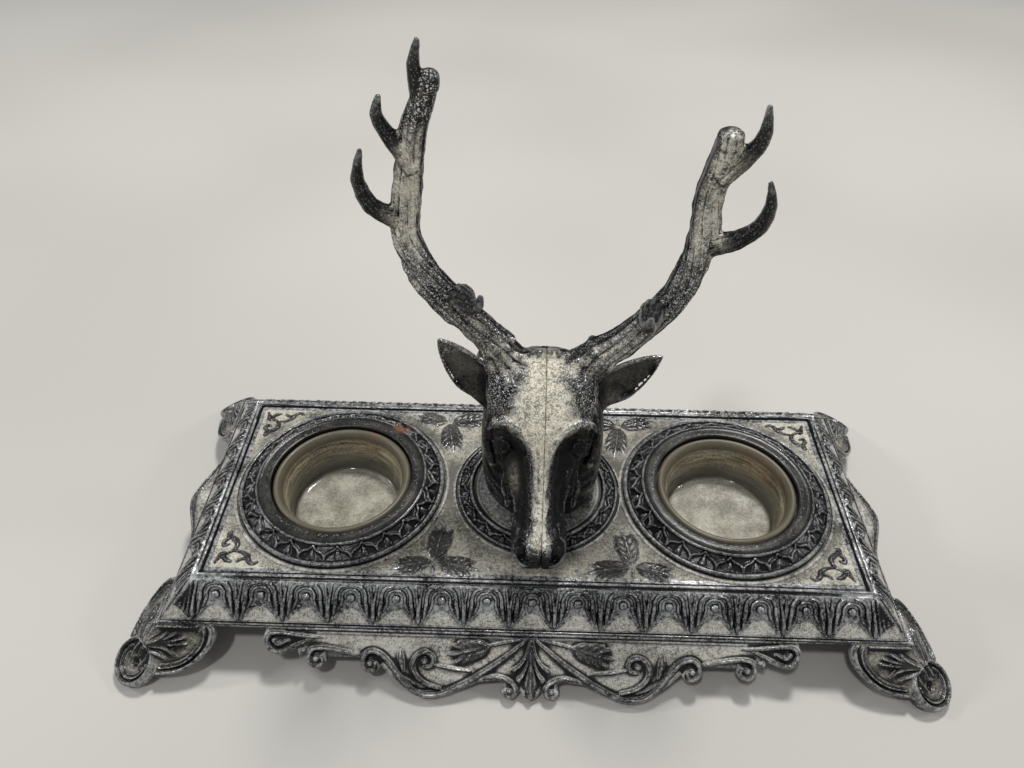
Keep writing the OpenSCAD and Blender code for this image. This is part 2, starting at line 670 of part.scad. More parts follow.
LEFT_BROW = [[-22.8, 4, 73.4, 3.7], [-21.2, -3, 80.9, 3.6], [-20.1, -9, 83.7, 3.3], [-17.9, -13.6, 85.1, 2.3],
    [-16, -15.6, 87.4, 1.5], [-15.4, -16, 90.6, 0.7]];
RIGHT_BEAM = [[11, 2, 50.5, 7], [17.6, 2, 58, 5.5], [24, 2, 63.1, 4.9], [29.6, 3, 68.6, 4.6],
    [34.4, 4, 74, 4.5], [38.2, 5, 80.8, 4.4], [41, 7, 88.6, 4.3], [42, 8, 96.4, 4.4],
    [41.2, 7, 106.8, 4], [42, 4, 117, 3.9], [42.2, 2, 124.8, 3.3]];
RIGHT_POINTS = [
    [[41.6, 8, 90.4, 3.4], [45.4, 6.4, 92.8, 3.2], [50, 4, 95.8, 2.7], [53.6, 0.4, 101.8, 2.2],
        [53.8, -3, 109.8, 1.6], [51.6, -5, 116.8, 0.7]],
    [[42, 4, 113.4, 3.4], [45.2, 2.6, 117.6, 2.9], [48, 0.2, 122.4, 2.2], [48.8, -2, 127.6, 1.7],
        [47.6, -4, 134.6, 0.7]]];
RIGHT_BROW = [[31.2, 4, 71.6, 3.7], [29.4, -3, 77.5, 3.5], [28.2, -9, 79.3, 3.1], [27.2, -13.6, 80.3, 2.1],
    [27, -15.6, 82.6, 1.4], [27, -16, 85, 0.7]];

// Roots and tips of the ears, as a place across, back and above the deck
LEFT_EAR = [[-15, 2, 41], [-29.6, 4, 60.4]];
RIGHT_EAR = [[18, 2, 40], [36.2, 4, 56]];

// The antler's tables are drawn with the left one reaching drawn_h, and start at foot_h
drawn_h = 147.2;
foot_h = 50;
function grown(rows) =
    [for (p = rows)
        [p[0], p[1], foot_h + max(p[2] - foot_h, 0) * (antler_h - foot_h) / (drawn_h - foot_h), p[3]]];

module antler(beam, points, brow) {
    rows = grown(beam);
    branch(rows, 18, 3, 6, groove, [0, 1, 0]);
    for (p = points) branch(grown(p), 9, 2, 0, 0, [0, 1, 0]);
    branch(grown(brow), 9, 2, 0, 0, [1, 0, 0]);
    burr(xyz(rows[1]), unit(xyz(rows[2]) - xyz(rows[0])), 4.9);
}

// Row of curls over the poll
module tufts() {
    for (i = [-3.5:3.5])
        at(on_skin(i * 2.6, 61.2 - 0.12 * i * i, -0.6)) sphere(r = 1.9, $fn = 10);
}

module head_holes() {
    for (side = [-1, 1])
        at([side * screw_x, screw_y, seat_z - eps])
            cylinder(d = screw_d + 2 * fit_gap, h = screw_l - washer_t - deck_t - seat_z + 1, $fn = 32);
    for (p = DOWELS)
        at(p)
            rotate([0, 90, 0])
                cylinder(d = dowel_d + 2 * fit_gap, h = dowel_l + 1, center = true, $fn = 32);
}

DOWELS = [[seam_x, -2, 44], [seam_x, 4, 26]];

module head_half(side, beam, points, brow, ear_line) {
    big = 300;
    difference() {
        intersection() {
            union() {
                face();
                at([seam_x, 0, 0]) neck();
                tufts();
                mirror([side < 0 ? 1 : 0, 0, 0]) half_features();
                translate([-head_x, 0, 0]) {
                    ear(ear_line[0], ear_line[1], ear_w);
                    antler(beam, points, brow);
                }
            }
            at([seam_x + side * big / 2, 0, big / 2 + seat_z]) cube(big, center = true);
        }
        head_holes();
    }
}

module head_left_half() {
    color(iron_head)
        translate([head_x, 0, deck_h])
            head_half(-1, LEFT_BEAM, LEFT_POINTS, LEFT_BROW, LEFT_EAR);
}

module head_right_half() {
    color(iron_head)
        translate([head_x, 0, deck_h])
            head_half(1, RIGHT_BEAM, RIGHT_POINTS, RIGHT_BROW, RIGHT_EAR);
}

// Fixings

module head_screw() {
    difference() {
        union() {
            translate([0, 0, boss_z - washer_t]) cylinder(d = screw_d, h = screw_l);
            translate([0, 0, boss_z - washer_t - screw_head_h]) cylinder(d = screw_head_d, h = screw_head_h);
        }
        translate([0, 0, boss_z - washer_t - screw_head_h])
            cube([screw_head_d + 1, 1, 2], center = true);
    }
}

module screw_washer() {
    difference() {
        translate([0, 0, boss_z - washer_t]) cylinder(d = washer_d, h = washer_t);
        translate([0, 0, boss_z - washer_t - 1]) cylinder(d = screw_d + 2 * fit_gap, h = washer_t + 2);
    }
}

module left_head_screw() {
    color(bolt_steel) at([head_x - screw_x, screw_y, deck_h]) head_screw();
}

module right_head_screw() {
    color(bolt_steel) at([head_x + screw_x, screw_y, deck_h]) head_screw();
}

module left_screw_washer() {
    color(brass) at([head_x - screw_x, screw_y, deck_h]) screw_washer();
}

module right_screw_washer() {
    color(brass) at([head_x + screw_x, screw_y, deck_h]) screw_washer();
}

module seam_dowel(p) {
    translate([head_x, 0, deck_h])
        at(p)
            rotate([0, 90, 0]) cylinder(d = dowel_d, h = dowel_l, center = true);
}

module forehead_dowel() {
    color(bolt_steel) seam_dowel(DOWELS[0]);
}

module neck_dowel() {
    color(bolt_steel) seam_dowel(DOWELS[1]);
}

base_casting();
head_left_half();
head_right_half();
left_ink_cup();
right_ink_cup();
left_head_screw();
right_head_screw();
left_screw_washer();
right_screw_washer();
forehead_dowel();
neck_dowel();
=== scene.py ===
import math

import bmesh
import bpy
import numpy as np
from mathutils import Matrix, Vector, noise


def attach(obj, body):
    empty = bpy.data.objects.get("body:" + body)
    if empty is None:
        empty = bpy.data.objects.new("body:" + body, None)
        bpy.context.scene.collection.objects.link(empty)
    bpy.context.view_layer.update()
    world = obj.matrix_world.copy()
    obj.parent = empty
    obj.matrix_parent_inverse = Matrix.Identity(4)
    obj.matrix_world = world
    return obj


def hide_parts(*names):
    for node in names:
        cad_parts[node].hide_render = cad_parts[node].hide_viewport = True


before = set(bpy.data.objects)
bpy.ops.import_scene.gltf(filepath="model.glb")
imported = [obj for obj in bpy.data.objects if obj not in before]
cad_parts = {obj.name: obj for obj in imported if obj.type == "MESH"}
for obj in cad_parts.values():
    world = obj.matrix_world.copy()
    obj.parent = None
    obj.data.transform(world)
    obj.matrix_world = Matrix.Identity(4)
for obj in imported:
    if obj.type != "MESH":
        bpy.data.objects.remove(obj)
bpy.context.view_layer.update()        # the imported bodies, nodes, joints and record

mm = 0.001               # every shape below is drawn in millimetres and scaled once
bumpReach = 0.12         # depth in millimetres that a bump map stands for


# Camera, light and stage

view = {
    "place": (-4.76, -173.91, 229.98),   # millimetres, above the table in front of the stag
    "elevation": 42.18,                  # degrees below the level
    "yaw": -0.974,
    "roll": -0.81,
    "focal": 793.0,                      # in pixels of a frame this wide
    "frameWidth": 1024.0,
    "sensor": 36.0,
    "nearest": 0.005,
}
# place and size in metres, power in watts, colour
lamps = {
    "windowBox": ((-0.2, -0.42, 1.0), 0.1, 2.5, (0.97, 0.98, 1.0)),
    "backBox": ((0.15, 0.45, 1.1), 0.2, 8.4, (1.0, 0.99, 0.97)),
    "leftBox": ((-0.9, 0.1, 0.6), 0.14, 2.1, (1.0, 1.0, 1.0)),
    "rightBox": ((0.85, 0.0, 0.6), 0.14, 1.4, (1.0, 1.0, 1.0)),
}
skyGlow = {"colour": (0.97, 0.98, 1.0, 1), "level": 0.23}


def makeCamera():
    elevation, yaw, roll = (math.radians(view[k]) for k in ("elevation", "yaw", "roll"))
    forward = Vector((math.cos(elevation) * math.sin(yaw), math.cos(elevation) * math.cos(yaw),
                      -math.sin(elevation)))
    right = Vector((math.cos(yaw), -math.sin(yaw), 0))
    up = right.cross(forward)
    axes = Matrix((right * math.cos(roll) - up * math.sin(roll),
                   right * math.sin(roll) + up * math.cos(roll), -forward)).transposed()
    data = bpy.data.cameras.new("photoView")
    data.sensor_width = view["sensor"]
    data.lens = view["focal"] / view["frameWidth"] * view["sensor"]
    data.clip_start = view["nearest"]
    camera = bpy.data.objects.new("photoView", data)
    camera.matrix_world = Matrix.Translation(Vector(view["place"]) * mm) @ axes.to_4x4()
    bpy.context.scene.collection.objects.link(camera)
    bpy.context.scene.camera = camera


def softbox(name, place, size, power, colour):
    data = bpy.data.lights.new(name, "AREA")
    data.shape = "DISK"
    data.size = size
    data.energy = power
    data.color = colour
    lamp = bpy.data.objects.new(name, data)
    lamp.location = place
    towards = Vector((0, 0, 0.03)) - Vector(place)    # the middle of the stand
    lamp.rotation_euler = towards.to_track_quat("-Z", "Y").to_euler()
    bpy.context.scene.collection.objects.link(lamp)


class Value:
    # a number socket, so that an expression on it adds Math nodes

    def __init__(self, paint, socket):
        self.paint = paint
        self.socket = socket

    def maths(self, operation, *others):
        node = self.paint.node("ShaderNodeMath", {"operation": operation}, dict(enumerate((self, *others))))
        return Value(self.paint, node.outputs[0])

    def __add__(self, other):
        return self.maths("ADD", other)

    def __sub__(self, other):
        return self.maths("SUBTRACT", other)

    def __rsub__(self, other):
        return self.maths("MULTIPLY", -1.0).maths("ADD", other)

    def __mul__(self, other):
        return self.maths("MULTIPLY", other)

    def __abs__(self):
        return self.maths("ABSOLUTE")

    __radd__ = __add__
    __rmul__ = __mul__

    def step(self, low, high):
        # 0 below low, 1 above high, smooth between
        node = self.paint.node("ShaderNodeMapRange", {"interpolation_type": "SMOOTHSTEP", "clamp": True},
                               {"Value": self, "From Min": low, "From Max": high})
        return Value(self.paint, node.outputs["Result"])


class Paint:
    # one material and its nodes

    def __init__(self, name):
        self.material = bpy.data.materials.new(name)
        self.material.use_nodes = True
        self.tree = self.material.node_tree
        self.shader = self.tree.nodes["Principled BSDF"]
        self.output = self.tree.nodes["Material Output"]
        self.place = self.node("ShaderNodeTexCoord").outputs["Object"]

    def node(self, kind, settings=None, inputs=None):
        made = self.tree.nodes.new(kind)
        for key, value in (settings or {}).items():
            setattr(made, key, value)
        for key, value in (inputs or {}).items():
            self.feed(made.inputs[key], value)
        return made

    def feed(self, socket, value):
        if isinstance(value, Value):
            value = value.socket
        if isinstance(value, bpy.types.NodeSocket):
            self.tree.links.new(value, socket)
        elif isinstance(value, (tuple, list)) and len(value) == 3 and len(socket.default_value) == 4:
            socket.default_value = (*value, 1)
        else:
            socket.default_value = value

    def noise(self, size, detail=3.0, roughness=0.55, offset=(0, 0, 0), stretch=(1, 1, 1)):
        # soft noise with lumps about size millimetres wide
        scaled = self.node("ShaderNodeMapping", {}, {
            "Vector": self.place, "Location": offset, "Scale": tuple(s / (size * mm) for s in stretch)})
        made = self.node("ShaderNodeTexNoise", {}, {
            "Vector": scaled.outputs[0], "Scale": 1.0, "Detail": detail, "Roughness": roughness})
        return Value(self, made.outputs["Fac"])

    def near(self, place, reach, radius=0):
        # 1 at a place, or on a sphere round it, given in millimetres, falling to 0 at the reach
        away = self.node("ShaderNodeVectorMath", {"operation": "DISTANCE"},
                         {0: self.place, 1: tuple(c * mm for c in place)})
        return 1 - abs(Value(self, away.outputs["Value"]) - radius * mm).step(0, reach * mm)

    def blend(self, share, first, second):
        made = self.node("ShaderNodeMix", {"data_type": "RGBA"}, {0: share, 6: first, 7: second})
        return made.outputs[2]

    def attribute(self, name):
        return Value(self, self.node("ShaderNodeAttribute", {"attribute_name": name}).outputs["Fac"])

    def upward(self):
        facing = self.node("ShaderNodeSeparateXYZ", {},
                           {0: self.node("ShaderNodeNewGeometry").outputs["Normal"]})
        return Value(self, facing.outputs["Z"])

    def bump(self, height, strength, reach):
        made = self.node("ShaderNodeBump", {}, {"Height": height, "Strength": strength,
                                                "Distance": reach * mm})
        self.feed(self.shader.inputs["Normal"], made.outputs["Normal"])

    def set(self, **values):
        for key, value in values.items():
            self.feed(self.shader.inputs[key.replace("_", " ")], value)


makeCamera()
for lampName, values in lamps.items():
    softbox(lampName, *values)
bpy.context.scene.view_settings.view_transform = "Standard"
world = bpy.data.worlds.new("studio")
world.use_nodes = True
bpy.context.scene.world = world
world.node_tree.nodes["Background"].inputs["Color"].default_value = skyGlow["colour"]
world.node_tree.nodes["Background"].inputs["Strength"].default_value = skyGlow["level"]

# pale cloth with painted shade of soft folds; its threads and fold shade are in millimetres, its size in
# metres
cloth = {
    "colour": (0.60, 0.585, 0.545), "shade": (0.54, 0.525, 0.49), "thread": 0.55, "foldShade": 240, "bump": 0.25,
    "rough": 0.95, "gloss": 0.1, "size": 4.0,
}


def clothFinish():
    paint = Paint("tableCloth")
    warp = paint.noise(cloth["thread"], 1.0, stretch=(1, 0.25, 1))
    weft = paint.noise(cloth["thread"], 1.0, stretch=(0.25, 1, 1), offset=(3, 7, 0))
    # painted shade: large soft patches of the darker colour stand for the shade of folds on the flat cloth
    foldShade = paint.noise(cloth["foldShade"], 1.0)
    paint.set(Base_Color=paint.blend(foldShade.step(0.3, 0.7), cloth["colour"], cloth["shade"]),
              Roughness=cloth["rough"], Specular_IOR_Level=cloth["gloss"])
    paint.bump(warp + weft, cloth["bump"], bumpReach)
    return paint.material


def makeFloor():
    bm = bmesh.new()
    bmesh.ops.create_grid(bm, x_segments=1, y_segments=1, size=cloth["size"] / 2)
    mesh = bpy.data.meshes.new("floor")
    bm.to_mesh(mesh)
    bm.free()
    floor = bpy.data.objects.new("floor", mesh)
    mesh.materials.append(clothFinish())
    bpy.context.scene.collection.objects.link(floor)


makeFloor()
print("camera, lights and floor made")


# Finishes

# noises that break up the iron: size in millimetres, detail, roughness and offset
ironNoises = {
    "lumps": (9, 4.0, 0.6), "speck": (1.1, 3.0, 0.65, (11, 3, 5)), "paintedGlint": (0.42, 1.0, 0.5, (7, 1, 3)),
}
# where each share of the finish starts and where it is full
ironSteps = {
    "edge": (0.12, 0.7), "tone": (0.3, 0.7), "rubbed": (0.25, 0.8), "dust": (0.0, 0.8), "sand": (0.42, 0.68),
    "line": (0.45, 0.85), "spots": (0.6, 0.72), "glints": (0.5, 0.62), "rust": (0.25, 0.8),
}
rustTone = (0.2, 0.1, 0.062)


def ironFinish(name, look):
    # black japan over cast iron: sandy dust on the flats, rubbed grey, bare iron with painted highlights and
    # glints on what stands proud, and painted shade that keeps the hollows black
    paint = Paint(name)
    crest = paint.attribute("crest")
    for place, reach, radius in look.get("plain", ()):
        crest = crest * (1 - paint.near(place, reach, radius))
    bulk = paint.attribute("bulk")
    # worn holds bare iron and painted glints and highlights on the head and antlers
    worn = paint.attribute("worn")
    lumps, speck, paintedGlint = (paint.noise(*values) for values in ironNoises.values())
    grain = paint.noise(look["grain"], 2.0, 0.7, offset=(2, 9, 4))
    steps = ironSteps
    edge = crest.step(*steps["edge"])
    # painted shade: hollows lose their dust and glints, so they stay black like shaded recesses
    hollowShade = (bulk * -1.0).step(look["hollowShadeStart"], look["hollowShadeEnd"])
    settled = paint.upward().step(*look["upRange"]) * (1 - edge * 0.6) * (1 - hollowShade * 0.95)
    dust = settled * (look["dust"] + (lumps - 0.5) * 1.3 + (speck - 0.5) * 0.35)
    if look["masked"]:
        dust = dust * paint.attribute("dusty")
    dust = dust.step(*steps["dust"])
    tone = paint.blend(lumps.step(*steps["tone"]), look["dark"], look["darkShade"])
    rubbed = (crest.step(0.1, 0.6) * (speck * 0.6 + lumps * 0.6)).step(*steps["rubbed"]) * look["wearAndHighlight"]
    tone = paint.blend(rubbed, tone, look["rubbed"])
    sand = (speck * 0.35 + grain * 0.55 + lumps * 0.25).step(*steps["sand"])
    # painted shade: the dust's grain darkens near the given places
    for place, reach, radius, amount in look.get("paintedShade", ()):
        sand = sand - paint.near(place, reach, radius) * amount
    grey = paint.blend(sand, look["dustShade"], look["dustTone"])
    tone = paint.blend(dust, tone, grey)
    # bare iron and painted highlight: a thin bright line along the crests
    line = crest.step(*look["crestRange"]) * (speck * 0.7 + lumps * 0.5).step(*steps["line"]) * look["wearAndHighlight"]
    # painted glints: bright specks on the crests and on the worn mask, kept out of the hollows
    spots = paintedGlint.step(*steps["spots"]) * (1 - hollowShade)
    spots = spots * (crest.step(0.1, 0.5) * look["paintedGlint"] + worn * 0.8)
    # bare iron with painted highlights and glints, in a light metal colour
    glintsAndBareIron = line * 0.8 + spots + (paintedGlint * 0.7 + speck * 0.3).step(*steps["glints"]) * worn
    tone = paint.blend(glintsAndBareIron, tone, look["bareIronAndHighlight"])
    for place, reach in look.get("rust", ()):
        spread = (paint.near(place, reach) * (speck + 0.4)).step(*steps["rust"])
        tone = paint.blend(spread, tone, rustTone)
    paint.set(Base_Color=tone, Roughness=look["rough"] + (speck - 0.5) * 0.16 + dust * 0.5,
              Metallic=glintsAndBareIron * 0.5, Specular_IOR_Level=look["gloss"])
    paint.bump(grain * 0.8 + speck * 0.6, look["bump"], bumpReach)
    return paint.material


# black, rubbed, dust, and bare iron with painted highlight colours, and how much of each; upRange is how
# level a face must be for dust
dustyIron = {
    "dark": (0.0035, 0.0037, 0.004), "darkShade": (0.012, 0.012, 0.0125),
    "rubbed": (0.042, 0.0425, 0.043), "bareIronAndHighlight": (0.85, 0.86, 0.86),
    "dustTone": (0.66, 0.63, 0.52), "dustShade": (0.11, 0.105, 0.085),
    "rough": 0.2, "gloss": 0.42, "grain": 0.4, "bump": 0.6, "wearAndHighlight": 0.7, "paintedGlint": 0.5,
    "upRange": (0.4, 0.7), "dust": 0.68, "hollowShadeStart": 0.1, "hollowShadeEnd": 0.8, "crestRange": (0.6, 1.4),
    "masked": False,
}
# painted shade: the ground's sandy dust is darker round the wells, the medallion and the sprigs, where shade
# falls
deckPaintedShade = tuple(((x, 0, 25.2), 5.0, radius, 0.45) for x, radius in ((-64, 36), (64, 36), (1.2, 29)))
deckPaintedShade += tuple(((x * 29, y * 27, 25.2), 13.0, 0, 0.25) for x in (-1, 1) for y in (-1, 1))
darkIron = dict(dustyIron, upRange=(0.3, 0.7), masked=True, rust=(((-46.8, 24.2, 29.0), 7.0),),
                plain=tuple(((x, 0, 29.1), 1.8, 23.6) for x in (-64, 64)))
headIron = dict(dustyIron, dust=0.95, upRange=(-1.2, -0.2), wearAndHighlight=0.45, paintedGlint=0.25, gloss=0.2,
                dustTone=(1.0, 0.94, 0.77), dustShade=(0.12, 0.115, 0.095), rubbed=(0.03, 0.03, 0.031),
                masked=True, hollowShadeStart=0.5, hollowShadeEnd=1.5)


# Shared mesh tools

sharpAngle = math.radians(55)
# rounds of smoothing that a point is compared with, and the height in millimetres that counts as 1
crestLayers = {"crest": (5, 0.1), "bulk": (26, 0.3)}


def finishPiece(name, bm, finish, **how):
    # turns a bmesh in millimetres into a piece that rides on a body
    mesh = bpy.data.meshes.new(name)
    bm.to_mesh(mesh)
    bm.free()
    return finishMesh(name, mesh, finish, **how)


def finishMesh(name, mesh, finish, body="stand", nodes=(), slot="japanned_iron", smooth=True, crest=True):
    mesh.name = name
    mesh.polygons.foreach_set("use_smooth", [smooth] * len(mesh.polygons))
    if smooth:
        mesh.set_sharp_from_angle(angle=sharpAngle)
    if crest:
        addCrest(mesh)
    mesh.transform(Matrix.Diagonal((mm, mm, mm, 1)))
    mesh.materials.clear()
    mesh.materials.append(finish)
    piece = bpy.data.objects.new(name, mesh)
    bpy.context.scene.collection.objects.link(piece)
    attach(piece, body)
    if nodes:
        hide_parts(*nodes)
    print("made", name, len(mesh.polygons), "faces")
    return piece


def coordinates(mesh):
    flat = np.empty(len(mesh.vertices) * 3, np.float32)
    mesh.vertices.foreach_get("co", flat)
    return flat.reshape(-1, 3).astype(float)


def neighbours(mesh):
    ends = np.empty(len(mesh.edges) * 2, np.int32)
    mesh.edges.foreach_get("vertices", ends)
    return ends.reshape(-1, 2)


def averaged(values, ends, count):
    # mean of each point's neighbours
    total = np.zeros_like(values)
    np.add.at(total, ends[:, 0], values[ends[:, 1]])
    np.add.at(total, ends[:, 1], values[ends[:, 0]])
    return total / np.maximum(count, 1).reshape(-1, *([1] * (values.ndim - 1)))


def normalsOf(mesh):
    flat = np.empty(len(mesh.vertices) * 3, np.float32)
    mesh.vertex_normals.foreach_get("vector", flat)
    return flat.reshape(-1, 3).astype(float)


def addCrest(mesh):
    # how far each point stands proud of its smoothed surroundings, near and wide, to find edges and hollows
    place = coordinates(mesh)
    ends = neighbours(mesh)
    count = np.bincount(ends.ravel(), minlength=len(place))
    normals = normalsOf(mesh)
    soft = place.copy()
    for name, (rounds, reach) in crestLayers.items():
        for _ in range(rounds):
            soft = 0.4 * soft + 0.6 * averaged(soft, ends, count)
        proud = ((place - soft) * normals).sum(1) / reach
        proud = 0.5 * proud + 0.5 * averaged(proud, ends, count)
        made = mesh.attributes.new(name, "FLOAT", "POINT")
        made.data.foreach_set("value", np.clip(proud, -1.5, 1.5).astype(np.float32))


def smoothLine(rows, steps):
    # points on a smooth curve through the rows, with their widths and heights
    rows = np.array(rows, float)
    if len(rows) < 3 or steps < 2:
        return rows
    ends = np.vstack([2 * rows[0] - rows[1], rows, 2 * rows[-1] - rows[-2]])
    share = (np.arange(steps) / steps)[:, None]
    spans = [0.5 * (2 * b + (c - a) * share + (2 * a - 5 * b + 4 * c - d) * share ** 2
                    + (3 * b - a - 3 * c + d) * share ** 3)
             for a, b, c, d in zip(ends, ends[1:], ends[2:], ends[3:])]
    return np.vstack([*spans, rows[-1:]])


class Relief:
    # height map of a flat patch in millimetres, worked with strokes and leaves as a carver would

    def __init__(self, x0, x1, y0, y1, step):
        self.x = np.linspace(x0, x1, int(round((x1 - x0) / step)) + 1)
        self.y = np.linspace(y0, y1, int(round((y1 - y0) / step)) + 1)
        self.height = np.zeros((len(self.y), len(self.x)))
        self.dusty = None
        self.step = step

    def stroke(self, rows, steps=5, sharp=0.6, cut=False):
        # bar with a round back through rows of x, y, half width and height
        line = smoothLine(rows, steps)
        for a, b in zip(line, line[1:]):
            self.bar(a, b, sharp, cut)

    def ball(self, x, y, radius, height, sharp=0.6, cut=False):
        self.bar(np.array([x, y, radius, height]), np.array([x, y, radius, height]), sharp, cut)

    def bar(self, a, b, sharp, cut):
        reach = max(a[2], b[2])
        i0, i1 = np.searchsorted(self.x, (min(a[0], b[0]) - reach, max(a[0], b[0]) + reach))
        j0, j1 = np.searchsorted(self.y, (min(a[1], b[1]) - reach, max(a[1], b[1]) + reach))
        if i0 >= i1 or j0 >= j1:
            return
        gx, gy = np.meshgrid(self.x[i0:i1], self.y[j0:j1])
        run = b[:2] - a[:2]
        t = np.clip(((gx - a[0]) * run[0] + (gy - a[1]) * run[1]) / max(run @ run, 1e-9), 0, 1)
        far = np.hypot(gx - a[0] - t * run[0], gy - a[1] - t * run[1]) / (a[2] + t * (b[2] - a[2]))
        lift = (a[3] + t * (b[3] - a[3])) * np.clip(1 - far ** 2, 0, 1) ** sharp
        patch = self.height[j0:j1, i0:i1]
        if cut:
            np.minimum(patch, -lift, out=patch)
        else:
            np.maximum(patch, lift, out=patch)

    def ring(self, x, y, radius, half, height, start=0.0, end=360.0, **how):
        angles = np.radians(np.linspace(start, end, max(4, int(abs(end - start) / 15) + 1)))
        self.stroke([(x + radius * math.cos(a), y + radius * math.sin(a), half, height) for a in angles],
                    steps=2, **how)

    def leaf(self, x, y, turn, length, width, lobes=3, height=0.8):
        # serrated leaf with a middle rib, from its root at x, y
        c, s = math.cos(math.radians(turn)), math.sin(math.radians(turn))

        def at(along, across, half, lift):
            return (x + length * along * c - width * across * s,
                    y + length * along * s + width * across * c, half, lift)

        for k in range(lobes):
            root = 0.04 + 0.62 * k / lobes
            spread = 0.5 * math.sin(math.pi * (0.3 + 0.55 * k / lobes))
            fat = width * 0.17
            for side in (-1, 1):
                self.stroke([at(root, 0.04 * side, fat * 0.7, height * 0.55),
                             at(root + 0.16, side * spread * 0.62, fat, height * 0.85),
                             at(root + 0.32, side * spread, fat * 0.45, height * 0.5)], steps=4)
        self.stroke([at(0, 0, width * 0.06, height * 0.6), at(0.5, 0, width * 0.11, height),
                     at(0.78, 0, width * 0.13, height * 0.85), at(1, 0, width * 0.03, height * 0.35)])

    def gatherDust(self, ground, raised, below):
        # how much dust lies on the ground and on the raised work
        self.dusty = soften(np.where(self.height < below, ground, raised))

    def within(self, outline):
        # distance of each spot to a closed outline, positive inside it
        return distanceInside(*np.meshgrid(self.x, self.y), outline)

    def sample(self, x, y, values):
        # values of the grid between its spots
        u = np.clip((x - self.x[0]) / (self.x[1] - self.x[0]), 0, len(self.x) - 1.001)
        v = np.clip((y - self.y[0]) / (self.y[1] - self.y[0]), 0, len(self.y) - 1.001)
        i, j = u.astype(int), v.astype(int)
        u, v = u - i, v - j
        return ((1 - u) * (1 - v) * values[j, i] + u * (1 - v) * values[j, i + 1]
                + (1 - u) * v * values[j + 1, i] + u * v * values[j + 1, i + 1])


def soften(height):
    pad = np.pad(height, 1, mode="edge")
    return (4 * height + pad[:-2, 1:-1] + pad[2:, 1:-1] + pad[1:-1, :-2] + pad[1:-1, 2:]) / 8


def distanceInside(x, y, outline):
    points = np.asarray(outline, float)
    best = np.full(x.shape, 1e9)
    inside = np.zeros(x.shape, bool)
    for (ax, ay), (bx, by) in zip(points, np.roll(points, -1, axis=0)):
        dx, dy = bx - ax, by - ay
        t = np.clip(((x - ax) * dx + (y - ay) * dy) / max(dx * dx + dy * dy, 1e-9), 0, 1)
        np.minimum(best, (x - ax - t * dx) ** 2 + (y - ay - t * dy) ** 2, out=best)
        if ay != by:
            inside ^= ((ay > y) != (by > y)) & (x < ax + (y - ay) * dx / dy)
    return np.where(inside, np.sqrt(best), -np.sqrt(best))


def markDust(bm, shares):
    layer = bm.verts.layers.float.new("dusty")
    for vert, share in zip(bm.verts, shares):
        vert[layer] = share


def setPlaces(bm, *axes):
    for vert, place in zip(bm.verts, np.stack(axes, 1)):
        vert.co = place


def reliefSheet(relief, place, inside, wall):
    # closed plate that carries a relief, cut where inside is 0; place turns flat x, y and height into the
    # tray's own place
    bm = bmesh.new()
    columns, lines = len(relief.x), len(relief.y)
    bmesh.ops.create_grid(bm, x_segments=columns - 1, y_segments=lines - 1, size=1)
    flat = np.array([v.co[:] for v in bm.verts])
    i = np.rint((flat[:, 0] + 1) / 2 * (columns - 1)).astype(int)
    j = np.rint((flat[:, 1] + 1) / 2 * (lines - 1)).astype(int)
    x, y = relief.x[i], relief.y[j]
    # spots outside move back to the edge, by at most one and a half steps
    gradY, gradX = np.gradient(inside, relief.y, relief.x)
    depth, gx, gy = inside[j, i], gradX[j, i], gradY[j, i]
    out = depth <= 0
    shift = np.where(out, -depth / np.maximum(gx ** 2 + gy ** 2, 0.05), 0)
    far = np.hypot(shift * gx, shift * gy)
    most = 1.5 * relief.step
    shift = np.where(far > most, shift * most / np.maximum(far, 1e-9), shift)
    x, y = x + shift * gx, y + shift * gy
    setPlaces(bm, x, y, relief.sample(x, y, relief.height))
    markDust(bm, relief.sample(x, y, relief.dusty))
    for vert, gone in zip(bm.verts, out):
        vert.tag = bool(gone)
    lost = [f for f in bm.faces if all(v.tag for v in f.verts)]
    bmesh.ops.delete(bm, geom=lost, context="FACES")
    rim = [e for e in bm.edges if e.is_boundary]
    sides = bmesh.ops.extrude_edge_only(bm, edges=rim)["geom"]
    for vert in (g for g in sides if isinstance(g, bmesh.types.BMVert)):
        vert.co.z = -wall
    low = [g for g in sides if isinstance(g, bmesh.types.BMEdge)]
    bmesh.ops.edgeloop_fill(bm, edges=low)
    setPlaces(bm, *place(*np.array([v.co[:] for v in bm.verts]).T))
    bmesh.ops.remove_doubles(bm, verts=bm.verts, dist=0.004)
    bmesh.ops.recalc_face_normals(bm, faces=bm.faces)
    return bm


def joined(*parts):
    # one bmesh from several, which are used up
    whole = bmesh.new()
    for part in parts:
        mesh = bpy.data.meshes.new("part")
        part.to_mesh(mesh)
        part.free()
        whole.from_mesh(mesh)
        bpy.data.meshes.remove(mesh)
    return whole


def turned(bm, matrix):
    bmesh.ops.transform(bm, matrix=matrix, verts=bm.verts)
    if matrix.determinant() < 0:
        bmesh.ops.reverse_faces(bm, faces=bm.faces)
    return bm


def lathe(profile, steps):
    # full turn of a profile of radius and height rows about the upright axis
    bm = bmesh.new()
    ring = bmesh.ops.create_circle(bm, segments=len(profile), radius=1)["verts"]
    for vert, (r, z) in zip(ring, profile):
        vert.co = (r, 0, z)
    bmesh.ops.spin(bm, geom=list(bm.verts) + list(bm.edges), cent=(0, 0, 0), axis=(0, 0, 1),
                   dvec=(0, 0, 0), angle=math.tau, steps=steps, use_merge=True, use_duplicate=False)
    bmesh.ops.remove_doubles(bm, verts=bm.verts, dist=0.002)
    bmesh.ops.recalc_face_normals(bm, faces=bm.faces)
    return bm


